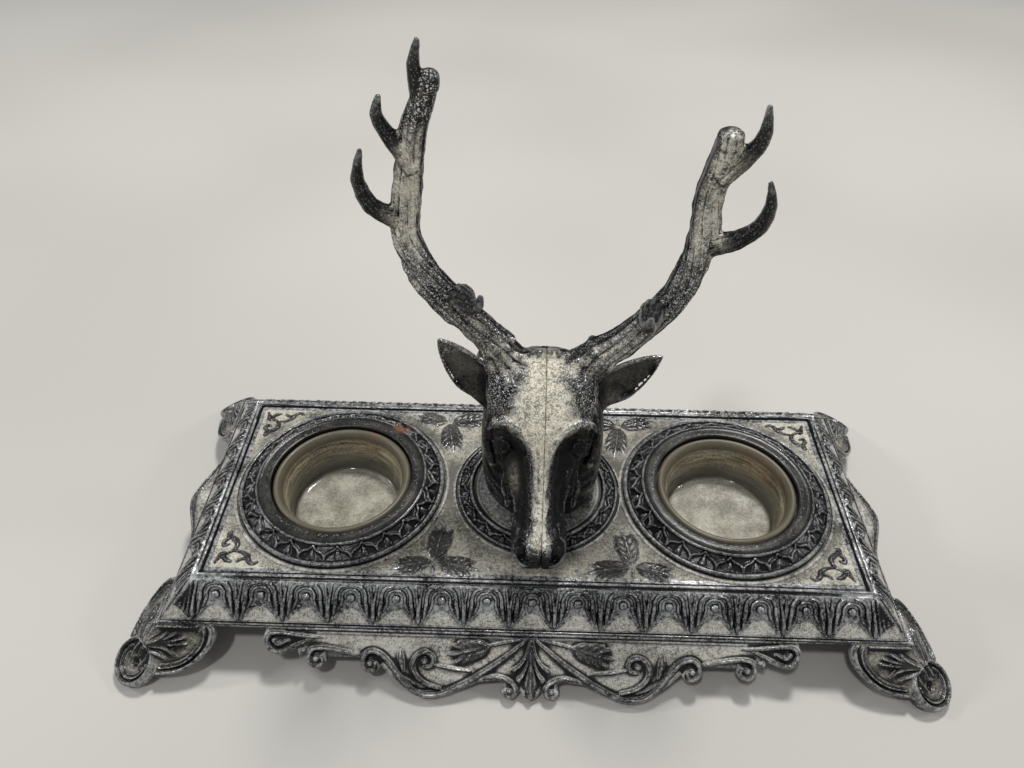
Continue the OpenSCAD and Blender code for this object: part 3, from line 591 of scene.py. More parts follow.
def frameSweep(profile, halfX, halfY, cuts):
    # profile of outward distance and height swept round a rectangle with mitred corners
    bm = bmesh.new()
    loops = []
    for sx, sy in ((1, 1), (-1, 1), (-1, -1), (1, -1)):
        ring = bmesh.ops.create_circle(bm, segments=len(profile), radius=1)["verts"]
        for vert, (out, z) in zip(ring, profile):
            vert.co = (sx * (halfX + out), sy * (halfY + out), z)
        loops.append([e for e in bm.edges if e.verts[0] in ring and e.verts[1] in ring])
    for a, b in zip(loops, loops[1:] + loops[:1]):
        bmesh.ops.bridge_loops(bm, edges=a + b)
    long = [e for e in bm.edges if e.calc_length() > halfY]
    bmesh.ops.subdivide_edges(bm, edges=long, cuts=cuts, use_grid_fill=True)
    bmesh.ops.recalc_face_normals(bm, faces=bm.faces)
    return bm


def newCurve(**settings):
    curve = bpy.data.curves.new("lines", "CURVE")
    for key, value in settings.items():
        setattr(curve, key, value)
    return curve


def addSpline(curve, points):
    spline = curve.splines.new("POLY")
    spline.points.add(len(points) - 1)
    for point, place in zip(spline.points, points):
        point.co = (*place, 1)
    return spline


def curveMesh(curve):
    holder = bpy.data.objects.new("lines", curve)
    mesh = bpy.data.meshes.new_from_object(holder)
    bpy.data.objects.remove(holder)
    return mesh


def resampled(profile, step):
    # the same outline with a point about every step
    points = []
    rows = [np.array(p, float) for p in profile]
    for a, b in zip(rows, rows[1:]):
        count = max(1, int(np.linalg.norm(b - a) / step))
        points += [tuple(a + (b - a) * k / count) for k in range(count)]
    return points + [tuple(rows[-1])]


# Tray

tray = {
    "deckTop": 25.2, "halfX": 100.0, "halfY": 35.7, "plate": 3.0, "wellX": 64.0, "holeRadius": 22.0,
    "cuts": 24, "inset": 1.2,
    "edgeX": 112.4, "edgeY": 48.1,
    "friezeTop": 3.4, "friezeStartZ": -0.1, "friezeRun": 8.2, "friezeDrop": 8.9,
    # outward distance from the deck and height over it: groove, bead, cove, slope, edge beads, lip, inside
    "profile": ((-1.2, 0), (0.1, 0), (0.3, -0.4), (0.55, -0.4), (0.72, 0.1), (0.95, 0.46), (1.35, 0.6),
                (1.75, 0.46), (2.0, 0.05), (2.3, -0.32), (2.9, -0.36), (3.4, -0.1), (7.5, -4.55),
                (11.5, -8.9), (11.62, -9.2), (11.75, -9.3), (12.0, -9.1), (12.3, -9.15), (12.42, -9.45),
                (12.3, -9.75), (12.05, -9.95), (12.15, -10.15), (12.38, -10.4), (12.38, -10.75),
                (12.1, -11.0), (8.9, -11.0), (8.7, -9.6), (0.4, -3.2), (-1.2, -3.0)),
}


def makeTray():
    lift = Matrix.Translation((0, 0, tray["deckTop"]))
    rim = turned(frameSweep(tray["profile"], tray["halfX"], tray["halfY"], tray["cuts"]), lift)
    finishPiece("trayRim", rim, borderIron, nodes=("base_casting",))
    curve = newCurve(dimensions="2D", fill_mode="BOTH", extrude=tray["plate"] / 2)
    x, y = tray["halfX"] - tray["inset"], tray["halfY"] - tray["inset"]
    outlines = [[(-x, -y), (x, -y), (x, y), (-x, y)]]
    for side in (-1, 1):
        angles = np.linspace(0, math.tau, 64, endpoint=False)
        outlines.append([(side * tray["wellX"] + tray["holeRadius"] * math.cos(a),
                          tray["holeRadius"] * math.sin(a)) for a in angles])
    for outline in outlines:
        addSpline(curve, [(px, py, 0) for px, py in outline]).use_cyclic_u = True
    mesh = curveMesh(curve)
    mesh.transform(Matrix.Translation((0, 0, tray["deckTop"] - tray["plate"] / 2)))
    finishMesh("deckPlate", mesh, deckIron, smooth=False, crest=False)


# Wells and medallion

# arches of the rings, drawn for a cell of this width; everything is in millimetres
arches = {"width": 7.9, "step": 0.12, "rib": 0.42, "pocket": 0.5}
collar = {
    "count": 24, "inner": 28.3, "outer": 32.35, "steps": 576,
    # turned outline as radius and height over the deck, from the outside; the arches lie on the band
    "profile": ((35.75, -0.6), (35.75, 0.02), (35.4, 0.3), (35.0, 0.42), (34.55, 0.25), (34.25, -0.1),
                (34.02, 0.3), (33.9, 1.0), (33.6, 1.5), (33.2, 1.62), (32.8, 1.5), (32.5, 1.15)),
    "band": ((32.35, 0.95), (31.2, 1.75), (29.8, 2.6), (28.3, 3.3)),
    "rim": ((28.15, 3.55), (28.0, 3.95), (27.65, 4.2), (27.25, 4.1), (26.95, 3.8), (25.5, 3.95), (24.0, 4.05),
            (23.5, 3.95), (23.25, 3.7), (23.2, 3.3), (23.2, 0.8), (21.0, 0.8), (21.0, -3.9), (24.4, -3.95),
            (26.0, -2.9), (34.0, -0.9)),
    # share of dust at some radii: seat, broad rim, arches, outer bead, low outer ring
    "dust": ((21, 0.2), (23.2, 0.12), (25, 0.2), (27, 0.1), (27.6, 0), (33, 0), (34.2, 0.2), (34.6, 1.2),
             (36, 1.2)),
}
medallion = {
    "x": 1.3, "count": 20, "inner": 22.9, "outer": 25.7, "steps": 480,
    "profile": ((28.2, -0.6), (28.2, 0.02), (27.9, 0.28), (27.5, 0.36), (27.2, 0.2), (26.95, -0.05),
                (26.75, 0.5), (26.4, 1.0), (26.1, 1.05), (25.85, 0.8)),
    "band": ((25.7, 0.6), (24.8, 1.0), (23.9, 1.3), (22.9, 1.5)),
    "rim": ((22.75, 1.75), (22.55, 2.2), (22.2, 2.4), (21.8, 2.3), (21.5, 1.9), (21.2, 1.25), (19.0, 1.18),
            (0.6, 1.15), (0.6, -0.6)),
    "dust": ((0, 0.5), (21, 0.6), (21.8, 0.1), (26, 0.0), (26.9, 0.3), (27.4, 1.2), (28.4, 1.2)),
}


def archBand(across, height, scale):
    # pointed arches with ribs between them, for one cell: inner edge at the top
    half = across / 2
    relief = Relief(-half, half, 0, height, arches["step"])
    rib = arches["rib"] * scale
    for side in (-1, 1):
        relief.stroke([(side * half, -0.2, rib, 0.62), (side * half * 0.98, height * 0.3, rib, 0.66),
                       (side * half * 0.74, height * 0.55, rib * 0.9, 0.66),
                       (side * half * 0.3, height * 0.72, rib * 0.8, 0.66), (0, height, rib * 0.6, 0.7)])
    relief.stroke([(0, height * 0.1, 1.1 * scale, 0.1), (0, height * 0.55, 0.5 * scale, 0.18)], sharp=0.8)
    relief.height = soften(np.where(relief.height < 0.02, -arches["pocket"], relief.height))
    return relief


def ringPiece(values, x):
    # turned ring at x with the arches pressed into its sloping band
    band = resampled(values["band"], 0.3)
    profile = list(values["profile"]) + band + list(values["rim"])
    bm = lathe(profile, values["steps"])
    cell = math.tau / values["count"]
    across = cell * (values["inner"] + values["outer"]) / 2
    deep = values["outer"] - values["inner"]
    relief = archBand(across, deep, across / arches["width"])
    (r0, z0), (r1, z1) = values["band"][0], values["band"][-1]
    slope = Vector((z1 - z0, r0 - r1)).normalized()
    near, far = values["inner"] - 0.02, values["outer"] + 0.02
    touched = [v for v in bm.verts if near < math.hypot(v.co.x, v.co.y) < far and v.co.z > 0]
    r = np.array([math.hypot(v.co.x, v.co.y) for v in touched])
    angle = np.array([math.atan2(v.co.y, v.co.x) for v in touched])
    offset = (np.mod(angle / cell, 1) - 0.5) * across
    fade = np.clip(np.minimum(r - values["inner"], values["outer"] - r) / 0.35, 0, 1)
    lift = relief.sample(offset, values["outer"] - r, relief.height)
    lift = lift * np.where(r > values["outer"] - 0.3, fade, 1)
    for vert, a, h in zip(touched, angle, lift):
        vert.co += Vector((slope.x * math.cos(a), slope.x * math.sin(a), slope.y)) * h
    radii = [math.hypot(v.co.x, v.co.y) for v in bm.verts]
    markDust(bm, np.interp(radii, *zip(*values["dust"])))
    return turned(bm, Matrix.Translation((x, 0, tray["deckTop"])))


def makeRings():
    for name, x in (("leftCollar", -tray["wellX"]), ("rightCollar", tray["wellX"])):
        finishPiece(name, ringPiece(collar, x), rimIron)
    finishPiece("medallion", ringPiece(medallion, medallion["x"]), rimIron)


# Frieze of arches and hanging leaves

# long and short are the arches to each side of the middle arch of a strip
frieze = {"pitch": 13.6, "step": 0.3, "long": 7, "short": 2, "sink": 0.05, "wall": 0.7}
friezeAngle = math.atan2(tray["friezeDrop"], tray["friezeRun"])
friezeLength = math.hypot(tray["friezeDrop"], tray["friezeRun"])


def friezeCell(relief, x):
    # one arch with its berry at x, and the leaves that hang beside it; y runs down the slope
    def put(rows, **how):
        relief.stroke([(x + r[0], -r[1], r[2], r[3]) for r in rows], **how)

    relief.ball(x, -4.1, 1.35, 1.25, 0.5)
    half = frieze["pitch"] / 2
    for side in (-1, 1):
        # inner and outer lines of the arch, which splay below into leaf tips
        put([(0, 1.5, 0.45, 0.8), (side * 1.6, 1.9, 0.5, 0.8), (side * 2.6, 3.3, 0.55, 0.8),
             (side * 2.7, 5.2, 0.6, 0.85), (side * 3.4, 7.0, 0.6, 0.8), (side * 4.0, 8.2, 0.3, 0.5)])
        put([(side * 1.2, 0.3, 0.45, 0.7), (side * 3.2, 0.9, 0.6, 0.95), (side * 4.3, 2.8, 0.7, 1.05),
             (side * 4.5, 5.4, 0.85, 1.1), (side * 5.0, 8.0, 0.8, 1.0), (side * 5.3, 10.0, 0.3, 0.5)])
        put([(side * (half - 1.0), 0.4, 0.4, 0.7), (side * (half - 0.7), 2.6, 0.5, 0.9),
             (side * (half - 0.3), 5.4, 0.6, 1.2), (side * half, 9.6, 0.9, 1.3),
             (side * half, 11.9, 0.2, 0.3)])


def friezeStrip(count, half):
    # strip that narrows to the mitres at both ends; half is its half length along the top
    reach = half + tray["friezeRun"] + 0.4
    relief = Relief(-reach, reach, -friezeLength, 0, frieze["step"])
    for k in range(-count, count + 1):
        friezeCell(relief, k * frieze["pitch"])
    # the last pair of arches runs into a long leaf that follows the mitre
    lean = tray["friezeRun"] / friezeLength
    for side in (-1, 1):
        end = (count + 0.5) * frieze["pitch"]
        room = half - end
        for k in range(3):
            share = (k + 1) / 4
            relief.stroke([(side * (end + room * share * 0.8), -0.5, 0.45, 0.6),
                           (side * (end + (room + 3.2) * share), -6.4, 0.6, 0.9),
                           (side * (end + (room + 5.4) * share), -11.2 - share, 0.22, 0.35)])
        relief.stroke([(side * (half - 0.9), -0.6, 0.4, 0.5),
                       (side * (half + lean * 5 - 0.9), -5.5, 0.75, 0.95),
                       (side * (half + lean * 11.4 - 0.3), -11.4, 0.25, 0.4)])
    y = relief.y[:, None] * np.ones_like(relief.height)
    # below a scalloped line lies the plain ground, full of dust
    scallop = 7.2 + 4.8 * np.abs(np.sin(math.pi * relief.x[None, :] / frieze["pitch"])) ** 2.8
    plain = -y > scallop
    relief.height = np.where(plain, np.minimum(relief.height, 0.05), relief.height)
    relief.height = np.where((relief.height < 0.02) & ~plain, -0.35, relief.height)
    relief.height = soften(relief.height)
    relief.dusty = soften(np.where(plain, 1.4, 0.06))
    relief.height *= np.clip(-y / 0.5, 0, 1) * np.clip((y + friezeLength) / 0.6, 0, 1)
    wide, low = half + tray["friezeRun"], -friezeLength - 0.01
    inside = relief.within([(-half, 0.01), (half, 0.01), (wide, low), (-wide, low)])

    def place(x, y, h):
        # leans over at the mitre, so that the strips of two sides meet in one line
        along = np.abs(x) - (half - y * lean)
        near = np.clip(1 + along / 3.0, 0, 1)
        c, s = math.cos(friezeAngle), math.sin(friezeAngle)
        lift = h + frieze["sink"]
        return x + np.sign(x) * near * s * lift, y * c - s * lift, y * s + c * lift

    return relief, inside, place


def makeFrieze():
    start = tray["friezeTop"]
    for name, count, halfAlong, out, turns in (
            ("friezeFront", frieze["long"], tray["halfX"] + start, tray["halfY"] + start, (0, 180)),
            ("friezeSide", frieze["short"], tray["halfY"] + start, tray["halfX"] + start, (90, 270))):
        relief, inside, place = friezeStrip(count, halfAlong)
        for turn, suffix in zip(turns, ("A", "B")):
            bm = reliefSheet(relief, place, inside, frieze["wall"])
            turned(bm, Matrix.Rotation(math.radians(turn), 4, "Z")
                   @ Matrix.Translation((0, -out, tray["deckTop"] + tray["friezeStartZ"])))
            finishPiece(name + suffix, bm, slopeIron)


# Pierced skirts

skirt = {
    "slope": 42.0, "top": -10.0, "edge": 47.6, "wall": 2.3, "step": 0.3, "round": 1.2, "roundDrop": 0.35,
    # lower edge of the left half, along the tray and down the slope
    "edgeLine": ((-79.4, 0.3), (-80.5, 3.2), (-80.2, 6.0), (-78.0, 8.3), (-75.4, 8.6), (-72.4, 7.5),
                 (-70.2, 6.6), (-69.2, 9.3), (-67.6, 7.0), (-66.7, 7.8)),
    "swagLine": ((-61.8, 7.4), (-57.3, 7.6), (-51.0, 8.6), (-50.6, 9.2)),
    "lowLine": ((-45.2, 10.8), (-42.2, 13.4), (-38.6, 16.4), (-35.2, 18.9), (-31.4, 20.0), (-26.8, 19.6),
                (-21.2, 17.4), (-15.9, 14.9), (-13.2, 14.6), (-9.9, 14.2), (-7.9, 14.9)),
}


def curlOutline(x, y, radius, start, end):
    angles = np.radians(np.linspace(start, end, 12))
    return [(x + radius * math.cos(a), y + radius * math.sin(a)) for a in angles]


def skirtOutline():
    # down positive here; turned over at the end
    left = list(skirt["edgeLine"])
    left += curlOutline(-64.2, 9.5, 2.9, 215, -30)
    left += list(skirt["swagLine"])
    left += curlOutline(-47.9, 10.3, 3.0, 170, -15)
    left += list(skirt["lowLine"])
    left += curlOutline(-6.1, 17.4, 2.3, 200, 20)
    left += [(-3.2, 16.8), (-2.4, 18.2), (-1.3, 19.3), (0, 19.7)]
    whole = left + [(-x, y) for x, y in reversed(left[:-1])]
    return [(-79.4, -0.6)] + whole + [(79.4, -0.6)]


def carveSkirt():
    # scrolls, leaves and palmette of the whole skirt, drawn once for its left half
    relief = Relief(-81.2, 81.2, -20.6, 0.6, skirt["step"])
    for side in (-1, 1):
        def put(rows, **how):
            relief.stroke([(side * r[0], -r[1], r[2], r[3]) for r in rows], **how)

        # volute with a teardrop at the end, and the leaf tip beside it
        put([(-62.5, 3.2, 0.3, 0.4), (-68.0, 3.0, 0.6, 0.8), (-73.4, 2.3, 0.75, 1.0),
             (-77.8, 2.3, 0.9, 1.2), (-79.2, 4.6, 0.95, 1.3), (-78.0, 7.2, 0.95, 1.3),
             (-75.4, 7.7, 0.9, 1.2), (-71.6, 6.4, 0.8, 1.1), (-68.0, 4.6, 0.6, 0.7), (-65.4, 3.7, 0.3, 0.4)])
        put([(-77.2, 4.4, 0.9, 1.2), (-75.6, 5.4, 0.9, 1.1), (-73.0, 4.4, 0.5, 0.6)], sharp=0.5)
        put([(-70.2, 5.8, 0.5, 0.7), (-69.3, 7.4, 0.75, 0.9), (-69.0, 9.0, 0.3, 0.4)])
        # bar that rolls into the first curl
        put([(-51.6, 8.0, 0.6, 0.8), (-57.3, 6.9, 0.75, 1.0), (-62.0, 6.3, 0.8, 1.1),
             (-65.4, 6.7, 0.9, 1.3), (-66.5, 9.2, 1.0, 1.5), (-64.8, 11.4, 0.95, 1.5),
             (-62.3, 10.6, 0.8, 1.3), (-62.6, 8.9, 0.6, 1.0)])
        relief.ball(side * -64.2, -9.4, 1.3, 1.7, 0.5)
        # second curl and the swag that hangs from it
        put([(-46.4, 10.4, 0.6, 1.1), (-47.4, 12.2, 0.9, 1.4), (-49.6, 11.2, 1.0, 1.5),
             (-50.0, 8.6, 0.95, 1.4), (-48.0, 6.8, 0.9, 1.3), (-44.6, 7.8, 0.85, 1.2),
             (-41.4, 11.0, 0.9, 1.2), (-38.0, 15.0, 0.9, 1.2), (-34.0, 18.3, 0.95, 1.3),
             (-30.0, 19.0, 1.0, 1.4), (-25.6, 18.2, 0.95, 1.3), (-19.8, 15.4, 0.85, 1.2),
             (-13.6, 11.6, 0.75, 1.1), (-8.2, 7.9, 0.65, 1.0), (-2.6, 3.4, 0.5, 0.8), (-1.2, 1.6, 0.35, 0.6)])
        relief.ball(side * -48.0, -10.2, 1.25, 1.7, 0.5)
        # inner scroll, from the swag's lowest point round to its eye
        put([(-27.0, 17.0, 0.6, 0.9), (-31.4, 15.7, 0.7, 1.0), (-34.4, 13.2, 0.75, 1.0),
             (-35.3, 10.2, 0.75, 1.0), (-34.0, 7.6, 0.75, 1.0), (-31.6, 6.6, 0.75, 1.1),
             (-29.4, 8.0, 0.75, 1.1), (-29.6, 10.4, 0.7, 1.0), (-31.6, 10.9, 0.6, 0.9)])
        relief.ball(side * -31.8, -9.3, 1.0, 1.2, 0.5)
        put([(-43.4, 9.4, 0.4, 0.6), (-39.4, 13.0, 0.45, 0.6), (-35.0, 15.6, 0.45, 0.6),
             (-31.6, 16.9, 0.4, 0.6)])
        # bud, short bar and stem
        put([(-38.2, 12.4, 0.3, 0.5), (-38.6, 10.2, 0.85, 1.0), (-39.0, 7.8, 0.9, 1.0),
             (-39.3, 5.2, 0.25, 0.4)])
        put([(-28.4, 10.4, 0.35, 0.6), (-23.0, 11.2, 0.55, 0.9), (-17.4, 11.8, 0.3, 0.5)])
        put([(-12.8, 4.4, 0.35, 0.5), (-8.0, 3.2, 0.5, 0.7), (-3.0, 2.2, 0.45, 0.6)])
        # serrated leaf, its tip away from the middle
        turn = 193 if side > 0 else -13
        relief.leaf(side * -12.6, -4.4, turn, 12.8, 6.2, 4, 1.3)
        # curl beside the palmette
        put([(-13.8, 13.7, 0.35, 0.6), (-10.6, 13.1, 0.6, 0.9), (-7.6, 13.7, 0.8, 1.1),
             (-5.2, 15.2, 0.85, 1.2), (-4.7, 17.4, 0.85, 1.3), (-6.2, 18.8, 0.8, 1.3),
             (-7.7, 17.6, 0.6, 1.0)])
        relief.ball(side * -6.2, -17.1, 1.0, 1.4, 0.5)
        # side lobes of the palmette
        put([(-0.5, 2.6, 0.3, 0.7), (-1.2, 6.4, 0.4, 0.9), (-2.9, 9.4, 0.5, 1.0), (-5.2, 11.2, 0.75, 1.2)])
        put([(-0.35, 3.6, 0.3, 0.7), (-0.8, 8.0, 0.42, 1.0), (-1.9, 11.6, 0.5, 1.1), (-3.5, 13.9, 0.8, 1.3)])
        put([(-0.25, 9.6, 0.3, 0.8), (-0.9, 12.8, 0.45, 1.0), (-1.2, 15.2, 0.55, 1.1),
             (-1.0, 17.4, 0.5, 1.0)])
    relief.stroke([(0, -2.0, 0.35, 0.8), (0, -8.0, 0.5, 1.1), (0, -12.6, 0.5, 1.2), (0, -15.6, 1.0, 1.5),
                   (0, -17.6, 1.25, 1.7), (0, -19.2, 0.7, 1.0)])
    relief.stroke([(-79.2, -0.7, 0.5, 0.7), (0, -0.7, 0.6, 0.8), (79.2, -0.7, 0.5, 0.7)], steps=1)
    relief.stroke([(-64.0, -1.9, 0.3, 0.35), (0, -1.9, 0.35, 0.4), (64.0, -1.9, 0.3, 0.35)], steps=1)
    relief.height = soften(relief.height)
    relief.gatherDust(1.15, 0.22, 0.3)
    return relief


def makeSkirts():
    relief = carveSkirt()
    inside = relief.within([(x, -y) for x, y in skirtOutline()])
    c, s = math.cos(math.radians(skirt["slope"])), math.sin(math.radians(skirt["slope"]))

    def nearestLine(values, spots):
        return np.clip(np.rint((spots - values[0]) / (values[1] - values[0])).astype(int), 0, len(values) - 1)

    def place(x, y, h):
        # the front falls away in a round towards the cut edge
        depth = inside[nearestLine(relief.y, y), nearestLine(relief.x, x)]
        closeness = np.clip(1 - depth / skirt["round"], 0, 1)
        h = h - np.where(h > -1, skirt["roundDrop"] * closeness ** 2, 0)
        return x, y * c - s * h, y * s + c * h

    for turn, name in ((0, "skirtFront"), (180, "skirtBack")):
        bm = reliefSheet(relief, place, inside, skirt["wall"])
        turned(bm, Matrix.Rotation(math.radians(turn), 4, "Z")
               @ Matrix.Translation((0, -skirt["edge"], tray["deckTop"] + skirt["top"])))
        finishPiece(name, bm, slopeIron)


# Feet: two leafed wings and a round scroll toe

foot = {
    "top": -10.1, "wall": 2.4, "step": 0.28, "toeRadius": 7.4, "toeOut": 7.3, "toeZ": 5.8, "toeTilt": 32.0,
    "level": 9.4,    # how far below the deck the corner lies that the foot is drawn from
    # edge of a wing: distance along the tray from the corner, and down the slope
    "edge": ((15.6, -0.6), (16.9, 1.2), (17.0, 3.4), (16.2, 6.4), (14.2, 9.2), (11.4, 11.9), (8.2, 13.7),
             (4.6, 14.7), (0.5, 15.2)),
}


def toePlace():
    low = foot["toeZ"] - tray["deckTop"] + foot["level"]
    return (Matrix.Translation((foot["toeOut"], -foot["toeOut"], low))
            @ Matrix.Rotation(math.radians(-45), 4, "Z")
            @ Matrix.Rotation(math.radians(foot["toeTilt"]), 4, "Y"))


def wingSheet():
    relief = Relief(-13.5, 17.6, -16.2, 0.6, foot["step"])
    a, s = math.radians(skirt["slope"]), math.sin(math.radians(skirt["slope"]))
    lean = math.cos(a)
    edge = smoothLine(foot["edge"], 4)
    outline = [(x, -y) for x, y in edge] + [(-15.2 * lean - 0.4, -15.2), (0, 0.6)]
    # rims that follow the edge, the outer one bold
    centre = np.array([4.0, 5.5])
    for share, half, height in ((0.93, 0.62, 1.25), (0.78, 0.42, 0.85), (0.70, 0.34, 0.6)):
        rows = [(*(centre + share * (np.array(p) - centre)), half, height) for p in edge[2:]]
        relief.stroke([(x, -y, w, h) for x, y, w, h in rows], steps=1)
    relief.stroke([(0.4, -0.75, 0.6, 1.3), (11.8, -0.75, 0.6, 1.2)])
    # acanthus leaf that springs from the mitre towards the tray
    for tip, bend in (((2.6, 3.1), (0.6, 4.2)), ((5.2, 3.1), (2.4, 4.0)), ((7.8, 4.2), (4.2, 4.6)),
                      ((9.0, 5.7), (4.8, 5.6))):
        relief.stroke([(-3.2, -6.3, 0.4, 0.7), (bend[0], -bend[1] - 0.5, 0.62, 1.2),
                       (tip[0], -tip[1], 0.42, 0.8)], steps=6)
    relief.stroke([(-3.6, -6.8, 0.5, 0.8), (2.0, -7.0, 0.75, 1.2), (6.0, -9.6, 0.35, 0.7)], steps=6)
    relief.stroke([(-4.0, -7.4, 0.5, 0.8), (-0.6, -8.6, 0.7, 1.1), (3.2, -10.4, 0.35, 0.6)], steps=6)
    relief.height = soften(relief.height)
    relief.gatherDust(0.55, 0.12, 0.25)

    def place(x, y, h):
        along = -x + y * lean                    # 0 on the mitre, negative on this wing
        near = np.clip(1 + along / 2.5, 0, 1)
        return -x + near * s * np.where(h > -1, h, h * 0.8), y * lean - s * h, y * s + h * lean

    # the wing ends where the toe begins
    gx, gy = np.meshgrid(relief.x, relief.y)
    spots = np.stack([-gx, gy * lean, gy * s, np.ones_like(gx)], -1)
    local = spots @ np.array(toePlace().inverted()).T
    clear = np.hypot(local[..., 0], local[..., 1]) - foot["toeRadius"] + 0.8
    inside = relief.within(outline)
    inside = np.where(local[..., 2] > -4.5, np.minimum(inside, clear), inside)
    return reliefSheet(relief, place, inside, foot["wall"])


def toeSheet():
    # the toe seen square on: x points down and outwards
    r = foot["toeRadius"]
    relief = Relief(-r - 0.3, r + 0.3, -r - 0.3, r + 0.3, 0.24)
    relief.ring(0, 0, r - 0.75, 0.75, 1.1, 0, 360)
    relief.ring(0, 0, r - 2.3, 0.42, 0.9, -115, 115)
    relief.ring(0.2, 0, r - 3.5, 0.36, 0.55, -95, 95)
    relief.stroke([(-6.6, 0, 1.7, 1.5), (-3.6, 0, 1.5, 1.5), (-1.4, 0, 0.6, 0.6)], steps=6, sharp=0.7)
    relief.stroke([(-5.8, 2.4, 0.6, 0.9), (-2.6, 2.9, 0.6, 0.9), (0.4, 2.4, 0.35, 0.5)], steps=6)
    relief.stroke([(-5.8, -2.4, 0.6, 0.9), (-2.6, -2.9, 0.6, 0.9), (0.4, -2.4, 0.35, 0.5)], steps=6)
    relief.ball(0.6, 0, 1.7, 1.3, 0.8, cut=True)
    relief.gatherDust(0.5, 0.15, 0.25)
    away = np.hypot(*np.meshgrid(relief.x, relief.y))
    relief.height = soften(relief.height) - 0.5 * np.clip(1 - (away / r) ** 2, 0, 1)
    matrix = np.array(toePlace())

    def place(x, y, h):
        spots = np.stack([x, y, h, np.ones_like(x)], -1) @ matrix.T
        return spots[:, 0], spots[:, 1], spots[:, 2]

    return reliefSheet(relief, place, r - away, foot["wall"])


def makeFeet():
    swap = Matrix(((0, -1, 0, 0), (-1, 0, 0, 0), (0, 0, 1, 0), (0, 0, 0, 1)))
    wings = [wingSheet(), turned(wingSheet(), swap)]
    for wing in wings:
        turned(wing, Matrix.Translation((0, 0, foot["top"] + foot["level"])))
    whole = joined(*wings, toeSheet())
    turned(whole, Matrix.Translation((tray["edgeX"], -tray["edgeY"], tray["deckTop"] - foot["level"])))
    low = bmesh.ops.bisect_plane(whole, geom=whole.verts[:] + whole.edges[:] + whole.faces[:],
                                 plane_co=(0, 0, 0.02), plane_no=(0, 0, -1), clear_outer=True)
    bmesh.ops.edgeloop_fill(whole, edges=[g for g in low["geom_cut"] if isinstance(g, bmesh.types.BMEdge)])
    mesh = bpy.data.meshes.new("foot")
    whole.to_mesh(mesh)
    whole.free()
    for name, sx, sy in (("footFrontRight", 1, 1), ("footFrontLeft", -1, 1), ("footBackRight", 1, -1),
                         ("footBackLeft", -1, -1)):
        bm = bmesh.new()
        bm.from_mesh(mesh)
        finishPiece(name, turned(bm, Matrix.Diagonal((sx, sy, 1, 1))), footIron)


# Pointed lips in the middle of the ends

lip = {"reach": 6.0, "half": 21.0, "top": -9.3, "wall": 1.5, "step": 0.3}


def makeLips():
    relief = Relief(-0.8, lip["reach"] + 0.4, -lip["half"] - 1, lip["half"] + 1, lip["step"])
    edge = [(lip["reach"] * (3 * t * t - 2 * t ** 3) * (0.8 + 0.2 * t), -lip["half"] * (1 - t))
            for t in np.linspace(0, 1, 25)]
    edge += [(x, -y) for x, y in reversed(edge[:-1])]
    for share, half, height in ((0.94, 0.5, 0.8), (0.72, 0.3, 0.4)):
        relief.stroke([(x * share - 0.4, y * 0.97, half, height) for x, y in edge], steps=1)
    relief.gatherDust(0.9, 0.2, 0.2)
    inside = relief.within(edge + [(-0.7, lip["half"]), (-0.7, -lip["half"])])

    def place(x, y, h):
        return x + tray["edgeX"] - 0.3, y, tray["deckTop"] + lip["top"] + h - 0.12 * x

    for name, turn in (("lipRight", 0), ("lipLeft", 180)):
        bm = reliefSheet(relief, place, inside, lip["wall"])
        finishPiece(name, turned(bm, Matrix.Rotation(math.radians(turn), 4, "Z")), slopeIron)


# Leaf sprigs and corner scrolls on the deck

ornament = {"step": 0.26, "cut": 0.06, "wall": 0.3, "dust": 0.2}


def sprigRelief():
    # three leaves from one node near the border, for the gap between the left well and the medallion
    relief = Relief(-48, -10, -35.4, -13.5, ornament["step"])
    relief.leaf(-30.6, -29.2, 80, 14.0, 7.4, 4, 0.8)
    relief.leaf(-31.8, -30.2, 196, 12.4, 6.4, 4, 0.8)
    relief.leaf(-29.4, -30.4, -12, 13.6, 7.0, 4, 0.8)
    relief.stroke([(-30.7, -31.2, 0.5, 0.5), (-30.4, -33.2, 0.5, 0.6), (-31.0, -34.6, 0.3, 0.3)])
    relief.ball(-13.4, -32.4, 0.7, 0.5)
    return relief


def cornerRelief():
    # scrolls of the front left corner
    relief = Relief(-99, -83, -35, -20, ornament["step"])
    put = relief.stroke
    relief.ball(-95.9, -21.8, 0.95, 0.7)
    put([(-96.2, -22.8, 0.6, 0.6), (-94.4, -23.6, 0.8, 0.7), (-92.7, -25.2, 0.85, 0.7),
         (-92.5, -27.2, 0.7, 0.6), (-93.4, -28.5, 0.45, 0.5)])
    put([(-95.4, -23.4, 0.5, 0.5), (-96.9, -25.0, 0.75, 0.7), (-96.4, -26.6, 0.6, 0.6),
         (-95.2, -26.0, 0.4, 0.5)])
    put([(-92.8, -28.2, 0.45, 0.5), (-94.6, -29.3, 0.5, 0.6), (-96.3, -29.8, 0.95, 0.7),
         (-97.0, -31.4, 0.6, 0.6), (-97.8, -33.2, 0.3, 0.4)])
    put([(-95.6, -30.6, 0.6, 0.6), (-94.3, -31.9, 0.75, 0.7), (-92.9, -32.4, 0.5, 0.5)])
    put([(-92.6, -28.4, 0.45, 0.5), (-90.2, -28.8, 0.6, 0.6), (-88.2, -30.2, 0.8, 0.7),
         (-87.4, -32.0, 0.75, 0.7), (-86.0, -33.1, 0.6, 0.6), (-84.7, -32.3, 0.5, 0.5)])
    put([(-88.2, -31.3, 0.5, 0.6), (-89.9, -31.4, 0.6, 0.6), (-91.0, -32.3, 0.45, 0.5)])
    return relief


